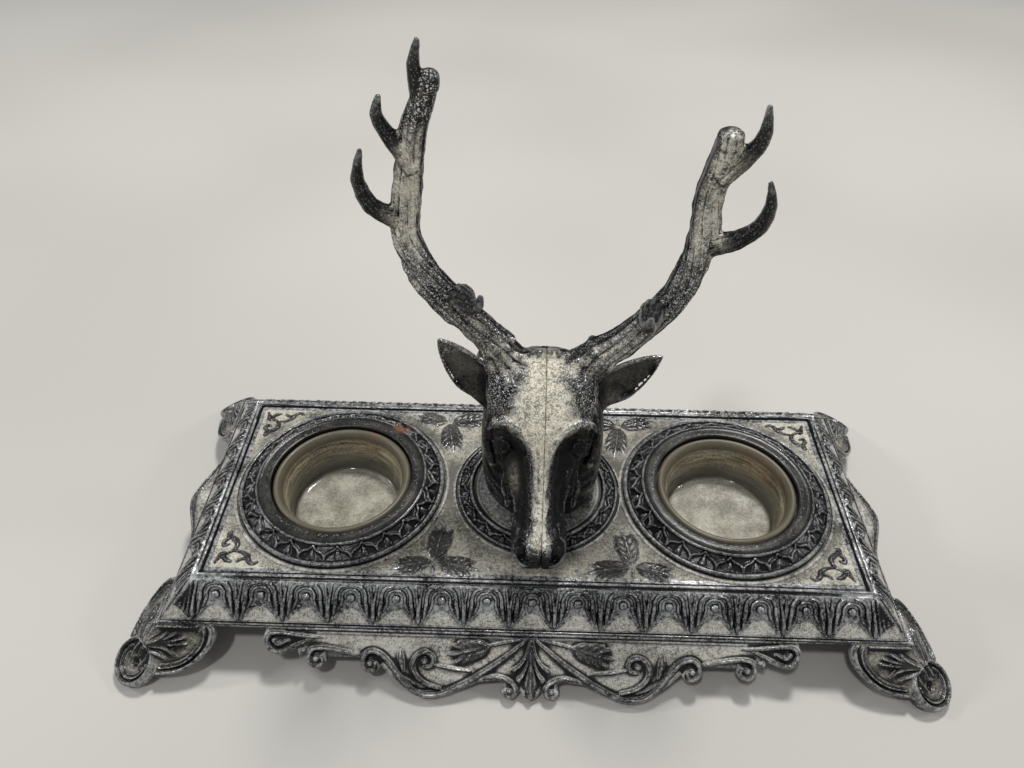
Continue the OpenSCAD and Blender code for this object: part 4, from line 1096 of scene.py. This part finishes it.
def makeOrnaments():
    for kind, relief, finish in (("sprig", sprigRelief(), sprigIron), ("corner", cornerRelief(), cornerIron)):
        relief.height = soften(relief.height)
        relief.gatherDust(0.9, ornament["dust"], 0.12)
        inside = relief.height - ornament["cut"]

        def place(x, y, h):
            return x, y, h + tray["deckTop"] - ornament["cut"]

        parts = []
        for sx in (1, -1):
            for sy in (1, -1):
                bm = reliefSheet(relief, place, inside, ornament["wall"])
                parts.append(turned(bm, Matrix.Diagonal((sx, sy, 1, 1))))
        finishPiece(kind + "Leaves", joined(*parts), finish)


# Stag's head and antlers, from the CAD halves and finer forms

head = {
    "x": 1.3, "seam": 2.1, "voxel": 0.46, "faceAngle": 53.0, "noseOut": 38.6, "noseZ": 11.2,
    "furrows": 11, "furrowDepth": 0.494, "barkFrom": 52, "hair": 0.26, "eye": (11.8, 33.6, 3.4),
    # hollows beside the bridge, by distance up the face: middle, width and depth
    "hollowAt": (2, 8, 12, 20, 28, 33, 38, 42), "hollowX": (5, 4.6, 4.4, 4.8, 5.8, 7.4, 9.0, 11),
    "hollowWide": (1.4, 1.8, 2.1, 2.3, 2.7, 3.4, 3.4, 3.0),
    "hollowDeep": (0, 0.4, 0.9, 1.1, 1.5, 2.5, 1.8, 0),
    # lumps and dents: height, distance from the middle, distance up the face, width and length
    "muzzle": ((-1.2, 4.9, 3.4, 0.95, 2.0), (0.5, 2.6, 4.0, 1.6, 2.6), (-0.35, 0.0, -1.8, 0.5, 1.2)),
    "cheek": ((-0.9, 7.6, 20, 1.6, 6), (0.7, 8.6, 26, 1.6, 4)),
    # crest of the brow, from the middle outwards, and how far up the face it is
    "brow": ((2.5, 3.8, 6.6, 10.4, 14), (31, 36.4, 40.4, 42.2, 41.2)),
    # reach of the dust to each side of the middle, how softly it ends, and where it ends on the poll
    "dustAt": (1.5, 3.5, 5.5, 7, 9, 14, 28, 33, 37, 41, 46, 54, 62, 68),
    "dustReach": (-3, -0.4, 2.0, 2.8, 2.2, 1.5, 1.9, 3.2, 6.0, 10, 9.5, 6.5, 8.0, 5),
    "pollReach": ((40, 46), (1.0, 0.8)), "dustSoft": ((5, 20, 42, 55), (2.4, 2.2, 6.0, 7.0)), "dustTop": 60.5,
    "cheekDust": ((0.3, 8.4, 24, 1.6, 6),),
    # dust on the beams by height over the table; the last share, at the top, differs between the two
    "beamDust": ((76, 90, 98, 112, 122, 145, 153), (0.5, 0.45, 0.2, 0.28, 1.05, 1.2)),
    "topDust": {"left": 0.12, "right": 1.1},
}
# centrelines of the antlers: across, back, height over the deck and radius, in millimetres
antlers = {
    "left": (
        ((-8.4, 2, 51.5, 7), (-12, 2, 59.9, 5.5), (-17, 3, 65.5, 4.8), (-22.9, 4, 71.6, 4.6),
         (-28.9, 5, 78.2, 4.5), (-33.6, 6.5, 85.2, 4.3), (-36.6, 8, 92.9, 4.3), (-35.7, 8, 102.1, 4.4),
         (-33.9, 6, 113.5, 4), (-31.8, 3, 124.2, 3.7), (-28.4, 0.6, 133, 3.1), (-26.8, -0.6, 138, 2.4)),
        ((-35.4, 7.6, 96, 3.2), (-39.2, 6.4, 98.6, 2.9), (-44, 3.4, 103.6, 2.4), (-45.8, 0, 112.6, 1.8),
         (-43.4, -3.6, 122, 0.7)),
        ((-32.8, 4.4, 113.4, 3), (-35, 3.2, 118.4, 2.5), (-38, 1, 124.4, 2), (-39.4, -1, 129.4, 1.6),
         (-37.9, -3, 134.6, 0.7)),
        ((-28.8, 1, 129.5, 2.6), (-29.6, 0, 134.4, 2.1), (-30, -1.8, 141, 1.6), (-28.4, -4, 147.2, 0.7)),
        ((-22.8, 4, 73.4, 3.7), (-21.2, -3, 80.9, 3.6), (-20.1, -9, 83.7, 3.3), (-17.9, -13.6, 85.1, 2.3),
         (-16, -15.6, 87.4, 1.5), (-15.4, -16, 90.6, 0.7))),
    "right": (
        ((11, 2, 50.5, 7), (17.6, 2, 58, 5.5), (24, 2, 63.1, 4.9), (29.6, 3, 68.6, 4.6), (34.4, 4, 74, 4.5),
         (38.2, 5, 80.8, 4.4), (41, 7, 88.6, 4.3), (42, 8, 96.4, 4.4), (41.2, 7, 106.8, 4),
         (42, 4, 117, 3.9), (42.2, 2, 124.8, 3.3)),
        ((41.6, 8, 90.4, 3.4), (45.4, 6.4, 92.8, 3.2), (50, 4, 95.8, 2.7), (53.6, 0.4, 101.8, 2.2),
         (53.8, -3, 109.8, 1.6), (51.6, -5, 116.8, 0.7)),
        ((42, 4, 113.4, 3.4), (45.2, 2.6, 117.6, 2.9), (48, 0.2, 122.4, 2.2), (48.8, -2, 127.6, 1.7),
         (47.6, -4, 134.6, 0.7)),
        ((31.2, 4, 71.6, 3.7), (29.4, -3, 77.5, 3.5), (28.2, -9, 79.3, 3.1), (27.2, -13.6, 80.3, 2.1),
         (27, -15.6, 82.6, 1.4), (27, -16, 85, 0.7))),
}
# ears: root and tip over the deck, and the half width along them as a share of the width
ears = {
    "left": ((-15, 2, 41), (-29.6, 4, 60.4)), "right": ((18, 2, 40), (36.2, 4, 56)), "width": 13.8,
    "rim": ((0.12, 0.36), (0.32, 0.48), (0.56, 0.46), (0.8, 0.28), (0.94, 0.11), (1.0, 0.02)),
    "thick": 0.55, "slim": 0.16,
}


def facePoint(x, s, out):
    # place on the face: across from its middle, up from the nose and out of its plane, in millimetres
    a = math.radians(head["faceAngle"])
    return Vector((head["x"] + x,
                   -head["noseOut"] + s * math.cos(a) - out * math.sin(a),
                   tray["deckTop"] + head["noseZ"] + s * math.sin(a) + out * math.cos(a)))


def faceCoordinates(place):
    a = math.radians(head["faceAngle"])
    y = place[:, 1] + head["noseOut"]
    z = place[:, 2] - tray["deckTop"] - head["noseZ"]
    return place[:, 0] - head["x"], y * math.cos(a) + z * math.sin(a), -y * math.sin(a) + z * math.cos(a)


def cadCopy(node):
    bm = bmesh.new()
    bm.from_mesh(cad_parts[node].data)
    bmesh.ops.remove_doubles(bm, verts=bm.verts, dist=1e-6)
    bmesh.ops.scale(bm, vec=(1 / mm, 1 / mm, 1 / mm), verts=bm.verts)
    return bm


def rods(lines):
    # round rods through rows of a point and a radius
    curve = newCurve(dimensions="3D", bevel_depth=1.0, bevel_resolution=3, use_fill_caps=True)
    for line in lines:
        points = smoothLine([(*point, radius) for point, radius in line], 4)
        for point, radius in zip(addSpline(curve, points[:, :3]).points, points[:, 3]):
            point.radius = radius
    mesh = curveMesh(curve)
    bm = bmesh.new()
    bm.from_mesh(mesh)
    bpy.data.meshes.remove(mesh)
    return bm


def fused(bm):
    # one skin over lumps that overlap
    mesh = bpy.data.meshes.new("lumps")
    bm.to_mesh(mesh)
    bm.free()
    holder = bpy.data.objects.new("lumps", mesh)
    bpy.context.scene.collection.objects.link(holder)
    skin = holder.modifiers.new("skin", "REMESH")
    skin.mode = "VOXEL"
    skin.voxel_size = head["voxel"]
    result = bpy.data.meshes.new_from_object(holder.evaluated_get(bpy.context.evaluated_depsgraph_get()))
    bpy.data.objects.remove(holder)
    return result


def setCoordinates(mesh, place):
    mesh.vertices.foreach_set("co", place.astype(np.float32).ravel())
    mesh.update()


def relaxed(mesh, rounds):
    place = coordinates(mesh)
    ends = neighbours(mesh)
    count = np.bincount(ends.ravel(), minlength=len(place))
    for _ in range(rounds):
        place = 0.5 * place + 0.5 * averaged(place, ends, count)
    setCoordinates(mesh, place)


def roughness(place, size, seed):
    offset = Vector((seed, 2.3 * seed, 5.1 * seed))
    return np.array([noise.noise(Vector(p) / size + offset) for p in place])


def bell(x, s, x0, s0, wide, long):
    return np.exp(-((np.abs(x) - x0) / wide) ** 2 - ((s - s0) / long) ** 2)


# raised forms too fine for the CAD, as rows of distance from the middle, up the face, out of it and radius
faceRows = (
    # brow
    ((2.0, 31.0, 0.6, 0.6), (3.6, 36.4, 1.5, 1.0), (6.6, 40.4, 2.1, 1.3), (10.4, 42.2, 1.6, 1.35),
     (13.8, 41.4, -0.8, 1.0), (15.6, 39.0, -4.0, 0.6)),
    # eyelid
    ((8.4, 33.6, -3.8, 0.3), (9.6, 35.4, -3.0, 0.5), (11.8, 36.2, -3.2, 0.55), (14.0, 35.2, -5.0, 0.4)),
    # edge of the nostril
    ((2.6, -0.9, -2.4, 0.5), (4.8, -0.2, -1.8, 0.75), (6.5, 1.8, -1.8, 0.8), (6.9, 4.6, -1.8, 0.75),
     (6.4, 7.4, -1.2, 0.7), (4.6, 8.8, -0.4, 0.6), (2.8, 8.6, 0.1, 0.4)),
    # lips
    ((1.4, -2.0, -4.8, 0.6), (4.4, -1.6, -5.6, 0.8), (6.8, 1.2, -6.6, 0.8), (7.6, 6.0, -7.4, 0.7),
     (7.6, 12.0, -8.4, 0.5)),
    ((2.0, -1.6, -8.6, 0.9), (5.2, -0.2, -9.2, 1.0), (6.9, 5.0, -10.2, 0.9), (7.2, 11.0, -10.8, 0.6)),
    # cheekbone and jaw
    ((9.6, 28.0, -6.4, 0.6), (10.6, 22.0, -8.6, 1.1), (9.4, 15.0, -9.6, 0.7)),
    ((14.8, 44.0, -5.0, 0.9), (16.2, 36.0, -9.6, 1.3), (14.0, 27.0, -13.0, 1.2)),
)


def faceForms(side):
    shift = 0.5 if side > 0 else 0
    return [[(facePoint(side * x + shift, s, out), radius) for x, s, out, radius in row] for row in faceRows]


def earLine(hand):
    # root of an ear, its line to the tip and the direction across it
    root, tip = (Vector(p) + Vector((0, 0, tray["deckTop"])) for p in ears[hand])
    return root, tip - root, Vector((0, 1, 0)).cross(tip - root).normalized()


def slimming(t):
    # how much narrower than the CAD's an ear is, by its length
    return ears["slim"] * min(1.0, max(0.0, t - 0.2) / 0.3)


def earRims(hand):
    # plain raised rims along both edges of an ear
    root, along, across = earLine(hand)
    return [[(root + along * t + across * edge * (w * (1 - slimming(t)) * ears["width"] - 0.45),
              ears["thick"] * (1.15 - 0.5 * t)) for t, w in ears["rim"]] for edge in (-1, 1)]


def slimEar(bm, hand):
    root, along, across = earLine(hand)
    for vert in bm.verts:
        away = vert.co - root
        t = away.dot(along) / along.length_squared
        w = away.dot(across)
        if t > 0.2 and abs(w) < 8 and abs(away.y - along.y * t) < 5:
            vert.co -= across * slimming(t) * w


def beamEnds(line):
    # rounded end on the sawn top of a beam
    x, y, z, r = line[-1]
    top = z + tray["deckTop"]
    return [[((x, y, top + up), r * share) for up, share in ((-3, 0.95), (0, 1.02), (1.0, 0.8), (1.7, 0.4))]]


def nearestOnAntlers(place, lines):
    # for each point: distance from the nearest centreline in radii, angle round it, way along it,
    # radius there, way left to the tip, and the line's number
    best = np.full(len(place), 1e9)
    angle, along, radius, tip, which = (np.zeros(len(place)) for _ in range(5))
    for number, line in enumerate(lines):
        rows = smoothLine([(x, y, z + tray["deckTop"], r) for x, y, z, r in line], 6)
        length = np.concatenate([[0], np.cumsum(np.linalg.norm(np.diff(rows[:, :3], axis=0), axis=1))])
        for k, row in enumerate(rows):
            away = place - row[:3]
            far = np.linalg.norm(away, axis=1) / max(row[3], 1.2)
            closer = far < best
            ahead = rows[min(k + 1, len(rows) - 1), :3] - rows[max(k - 1, 0), :3]
            ahead = ahead / np.linalg.norm(ahead)
            u = np.cross((0, 1, 0), ahead)
            u = u / np.linalg.norm(u)
            v = np.cross(ahead, u)
            best = np.where(closer, far, best)
            angle = np.where(closer, np.arctan2(away @ v, away @ u), angle)
            along = np.where(closer, length[k] + away @ ahead, along)
            radius = np.where(closer, row[3], radius)
            tip = np.where(closer, length[-1] - length[k], tip)
            which = np.where(closer, number, which)
    return best, angle, along, radius, tip, which


def cutAtSeam(mesh, side):
    # what a form or the skin puts past the plane of the seam goes
    bm = bmesh.new()
    bm.from_mesh(mesh)
    bpy.data.meshes.remove(mesh)
    cut = bmesh.ops.bisect_plane(bm, geom=bm.verts[:] + bm.edges[:] + bm.faces[:],
                                 plane_co=(head["seam"] + side * 0.04, 0, 0), plane_no=(-side, 0, 0),
                                 clear_outer=True)
    rim = [part for part in cut["geom_cut"] if isinstance(part, bmesh.types.BMEdge)]
    bmesh.ops.triangle_fill(bm, edges=rim, use_beauty=True)
    result = bpy.data.meshes.new("half")
    bm.to_mesh(result)
    bm.free()
    return result


def nearEye(x, s, full):
    across, up, radius = head["eye"]
    return np.clip(full - np.hypot(np.abs(x) - across, s - up) / radius, 0, 1)


def bells(x, s, rows):
    return sum(height * bell(x, s, *spot) for height, *spot in rows)


def barkForms(place, knots, lines):
    # how far a point belongs to an antler, lift of the bark, its grooves, way from the root, if it is a beam
    far, angle, along, radius, tip, which = nearestOnAntlers(place, lines)
    height = place[:, 2] - tray["deckTop"]
    share = np.clip((1.6 - far) / 0.25, 0, 1) * np.clip((height - head["barkFrom"]) / 5, 0, 1)
    # furrows that twist slowly along the beam, deepest low down
    twist = 0.03 * along + 0.16 * np.sin(along * 0.13)
    wave = 0.5 * head["furrows"] * (angle + twist) + 0.5 * np.sin(0.21 * along + 2 * angle)
    groove = 1 - np.abs(np.sin(wave))
    deep = np.clip(tip / 16, 0.08, 1) * np.clip(radius / 4.2, 0.3, 1.1)
    lift = -head["furrowDepth"] * groove ** 2 + 0.3 * knots + 0.12 * roughness(place, 1.5, 3.0)
    return share, lift * deep, groove, along, which == 0


def faceLift(place, normals, x, s, out):
    # hollows beside the bridge and under the brow, nostrils, the casting's skin and the hair of the neck
    middle, wide, depth = (np.interp(s, head["hollowAt"], head[key])
                           for key in ("hollowX", "hollowWide", "hollowDeep"))
    across = np.abs(x) - middle
    beside = across / np.where(across > 0, 2.2 * wide, wide)
    face = bells(x, s, head["muzzle"]) + bells(x, s, head["cheek"]) * (out > -12)
    face = face - depth * np.exp(-beside ** 2)
    face = face * np.clip(normals[:, 2] * 1.6 - normals[:, 1] * 0.5, 0, 1) * (out > -9)
    skin = 0.07 * roughness(place, 0.9, 5.0) + 0.2 * roughness(place, 2.6, 6.0) * (s > 10)
    hair = np.sin(place[:, 2] * 1.2 + 3.4 * roughness(place, 6.0, 4.0) + 0.6 * x)
    hair = head["hair"] * hair * np.clip(-out / 6 - 0.9, 0, 1) * (s > 14)
    share = np.clip((18 - np.abs(x)) / 2, 0, 1) * (1 - 0.85 * nearEye(x, s, 1.7))
    return (face + skin + hair) * share


def faceMasks(x, s, out, knots):
    # dust on the forehead and down the bridge; painted highlights on the brow ridge and beside the bridge,
    # and bare iron with painted glints on the skull
    aside = np.abs(x)
    reach = np.interp(s, head["dustAt"], head["dustReach"]) * np.interp(s, *head["pollReach"])
    soft = np.interp(s, *head["dustSoft"])
    dust = np.clip((reach - aside + 1.6 * knots) / soft + 0.5, 0, 1.1) * np.clip((out + 7) / 3, 0, 1)
    dust = dust * (1 - 0.75 * np.clip((s - head["dustTop"] + knots) / 1.5, 0, 1))
    dust = np.maximum(dust, bells(x, s, head["cheekDust"]) * (x < 0))
    browHighlight = np.exp(-((s - np.interp(aside, *head["brow"])) / 1.5) ** 2)
    browHighlight = browHighlight * (aside > 2.5) * (aside < 14.5) * (out > -4)
    inEar = np.clip((aside - 17) / 3, 0, 1)
    flankHighlight = np.exp(-((aside - reach) / 1.5) ** 2) * (out > -8) * (s > 2)
    skull = np.clip((aside - 6) / 3, 0, 1) * np.clip((s - 42) / 5, 0, 1) * (out > -9)
    return (np.maximum.reduce([dust, 0.5 * browHighlight, 0.17 * inEar]),
            np.maximum.reduce([1.3 * browHighlight, 0.8 * flankHighlight, 0.5 * skull]))


def antlerMasks(height, normals, knots, groove, along, onBeam, hand):
    # dust, and bare iron with painted glints, on the fronts of the beams, less of both on the tines
    front = np.clip(0.5 * normals[:, 2] - 1.15 * normals[:, 1], 0, 1)
    bark = 1 - 0.85 * groove ** 1.3
    levels, shares = head["beamDust"]
    dust = (0.02 + 1.35 * front ** 2.2) * (1 + 0.7 * knots) * bark
    dust = dust * np.interp(height, levels, (*shares, head["topDust"][hand]))
    return (dust * np.where(onBeam, 1, np.clip(1.3 - along / 10, 0.05, 1)),
            0.8 * front ** 1.5 * bark * np.where(onBeam, 1, np.clip(0.6 - along / 12, 0.06, 1)))


def sculpted(mesh, hand):
    # bark, hair and fine forms, then the shares of dust, and of bare iron with painted highlights, that the
    # finish reads
    place = coordinates(mesh)
    normals = normalsOf(mesh)
    onFace = faceCoordinates(place)
    knots = roughness(place, 3.4, 8.0)
    share, bark, *grain = barkForms(place, knots, antlers[hand])
    lift = share * bark + (1 - share) * faceLift(place, normals, *onFace)
    cutFace = (np.abs(place[:, 0] - head["seam"]) < 0.3) & (np.abs(normals[:, 0]) > 0.8)
    setCoordinates(mesh, place + normals * np.where(cutFace, 0, lift)[:, None])
    antlerValues = antlerMasks(place[:, 2], normals, knots, *grain, hand)
    # worn carries bare iron with painted glints and highlights
    for name, antler, face in zip(("dusty", "worn"), antlerValues, faceMasks(*onFace, knots)):
        made = mesh.attributes.new(name, "FLOAT", "POINT")
        values = share * antler + (1 - share) * face
        made.data.foreach_set("value", np.clip(values, 0, 1.3).astype(np.float32))


def plainSeam(made):
    # the cut faces stay flat, and the finish doesn't put worn crests and painted highlights on their edges or
    # the eyelids
    mesh = made.data
    place = coordinates(mesh) / mm
    x, s, _ = faceCoordinates(place)
    for name in crestLayers:
        values = np.empty(len(x), np.float32)
        mesh.attributes[name].data.foreach_get("value", values)
        values[np.abs(place[:, 0] - head["seam"]) < 1.0] = 0
        values *= 1 - 0.7 * nearEye(x, s, 2.2)
        mesh.attributes[name].data.foreach_set("value", values)
    for face in mesh.polygons:
        if abs(face.normal.x) > 0.9 and abs(face.center.x / mm - head["seam"]) < 0.1:
            face.use_smooth = False


def makeHead():
    for name, node, hand, side in (("headLeft", "head_left_half", "left", -1),
                                   ("headRight", "head_right_half", "right", 1)):
        forms = faceForms(side) + earRims(hand) + beamEnds(antlers[hand][0])
        half = cadCopy(node)
        slimEar(half, hand)
        mesh = fused(joined(half, rods(forms)))
        relaxed(mesh, 2)
        mesh = cutAtSeam(mesh, side)
        sculpted(mesh, hand)
        plainSeam(finishMesh(name, mesh, headPaint, nodes=(node,), slot="head_iron"))


# Glass cups, screws, washers and dowels

cup = {
    "x": 64.0, "steps": 128,
    # radius and height over the table, from under the floor round the mouth to the floor's top
    "profile": ((0.02, 11.2), (14.0, 11.2), (14.8, 10.7), (17.6, 10.7), (19.4, 11.3), (20.1, 12.2),
                (20.5, 18.0), (20.5, 26.05), (22.4, 26.05), (22.68, 26.3), (22.68, 27.9), (22.2, 28.5),
                (21.6, 28.72), (20.9, 28.4), (20.2, 27.2), (19.75, 26.2), (19.6, 24.6), (19.35, 23.4),
                (18.95, 22.8), (18.75, 21.6), (18.7, 18.0), (18.55, 15.8), (18.0, 14.2), (17.0, 13.3),
                (15.8, 13.05), (0.02, 12.95)),
}


# heights over the table, in millimetres, between which each layer on the glass comes in; its colours; and
# place and reach of two rust stains
glass = {
    "colour": (0.84, 0.82, 0.68), "rough": 0.04, "ior": 1.5,
    "floor": (14.5, 18), "film": (12.5, 24), "brown": (15, 22), "rim": (25.2, 26.2), "rust": (15, 24),
    "floorTone": (0.55, 0.52, 0.43), "filmTone": (0.55, 0.48, 0.32), "rimTone": (0.14, 0.12, 0.075),
    "shade": (0.08, 0.075, 0.06), "rustTone": (0.23, 0.105, 0.045),
    "stainRight": ((75, 9, 26), 13), "stainLeft": ((-58, 18, 26), 9),
}


def glassFinish():
    # old pressed glass, dulled by dust on the floor, with streaks of brown film and rust near the mouth
    paint = Paint("oldGlass")
    film = paint.noise(7, 3.0, 0.6)
    speck = paint.noise(0.7, 2.0, 0.7, offset=(5, 1, 8))
    streak = paint.noise(5, 3.0, 0.6, offset=(3, 4, 1), stretch=(0.5, 0.5, 5))
    level = Value(paint, paint.node("ShaderNodeSeparateXYZ", {}, {0: paint.place}).outputs["Z"])
    floor, wall, brown, rim, rusty = (level.step(glass[key][0] * mm, glass[key][1] * mm)
                                      for key in ("floor", "film", "brown", "rim", "rust"))
    paint.set(Base_Color=glass["colour"], Roughness=glass["rough"] + film.step(0.4, 0.8) * 0.1,
              IOR=glass["ior"], Transmission_Weight=1.0)
    floorDust = paint.upward().step(0.75, 0.98) * (1 - floor)
    wallFilm = wall * (streak * 1.1 + speck * 0.3).step(0.4, 0.9) * 0.95
    share = floorDust * (0.5 + film.step(0.35, 0.7) * 0.35 + (speck - 0.5) * 0.5) + rim * 0.7 + wallFilm
    grime = paint.blend(brown, glass["floorTone"], glass["filmTone"])
    grime = paint.blend(rim, grime, glass["rimTone"])
    grain = (speck * 0.7 + film * 0.4).step(0.4, 0.75)
    grime = paint.blend(grain, paint.blend(0.5, grime, glass["shade"]), grime)
    stain = paint.near(*glass["stainRight"]) * rusty + paint.near(*glass["stainLeft"]) * 0.7
    stain = stain * film.step(0.3, 0.65) * 0.7
    surface = paint.shader.outputs[0]
    for amount, colour, rough in ((share, grime, 0.4), (stain, glass["rustTone"], 0.7)):
        layer = paint.node("ShaderNodeBsdfPrincipled", {}, {"Base Color": colour, "Roughness": rough})
        mixed = paint.node("ShaderNodeMixShader", {}, {0: amount, 1: surface, 2: layer.outputs[0]})
        surface = mixed.outputs[0]
    paint.feed(paint.output.inputs["Surface"], surface)
    return paint.material


def makeCups():
    oldGlass = glassFinish()
    for name, node, body, side in (("leftCup", "left_ink_cup", "left_cup", -1),
                                   ("rightCup", "right_ink_cup", "right_cup", 1)):
        bm = lathe(cup["profile"], cup["steps"])
        turned(bm, Matrix.Translation((side * cup["x"], 0, 0)))
        finishPiece(name, bm, oldGlass, body=body, nodes=(node,), slot="ink_glass", crest=False)


# metals of the fixings: colour, shade and roughness
metals = {
    "dullSteel": ((0.34, 0.34, 0.35), (0.16, 0.155, 0.15), 0.42),
    "dullBrass": ((0.5, 0.37, 0.16), (0.28, 0.2, 0.09), 0.4),
}


def metalFinish(name):
    colour, shade, rough = metals[name]
    paint = Paint(name)
    worn = paint.noise(1.2, 3.0)
    lines = paint.noise(0.5, 2.0, stretch=(1, 1, 8))
    paint.set(Base_Color=paint.blend(worn.step(0.3, 0.7), shade, colour), Metallic=1.0,
              Roughness=rough + (worn - 0.5) * 0.3)
    paint.bump(lines, 0.2, 0.05)
    return paint.material


def paintFixings():
    # the CAD's own screws, washers and dowels are shown as they are
    steel = metalFinish("dullSteel")
    brass = metalFinish("dullBrass")
    for node in ("left_head_screw", "right_head_screw", "forehead_dowel", "neck_dowel", "left_screw_washer",
                 "right_screw_washer"):
        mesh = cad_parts[node].data
        finish = brass if "washer" in node else steel
        if mesh.materials:
            for k in range(len(mesh.materials)):
                mesh.materials[k] = finish
        else:
            mesh.materials.append(finish)


slopeIron = ironFinish("dustySlope", dict(dustyIron, upRange=(0.3, 0.6), dust=0.66,
                                          dustTone=(0.6, 0.585, 0.53), masked=True))
deckIron = ironFinish("dustyDeck", dict(dustyIron, dust=0.7, paintedShade=deckPaintedShade))
rimIron = ironFinish("blackRim", dict(darkIron, wearAndHighlight=0.5))
footIron = ironFinish("blackFoot", dict(darkIron, rust=()))
# more painted glints and bright crest lines on the sprigs
sprigIron = ironFinish("blackSprig", dict(darkIron, rust=(), paintedGlint=1.0, wearAndHighlight=1.1, crestRange=(0.35, 1.0)))
cornerIron = ironFinish("blackCorner", dict(darkIron, rust=(), dust=0.25, wearAndHighlight=0.45,
                                            rubbed=(0.03, 0.03, 0.031)))
# painted highlight: a thin bright line along the bead's crest
borderIron = ironFinish("dustyRim", dict(dustyIron, dust=0.06, upRange=(0.55, 0.9), wearAndHighlight=0.9,
                                         crestRange=(0.9, 1.35), rubbed=(0.018, 0.018, 0.019)))
headPaint = ironFinish("headIron", headIron)
makeTray()
makeRings()
makeOrnaments()
makeFrieze()
makeSkirts()
makeFeet()
makeLips()
makeHead()
makeCups()
paintFixings()
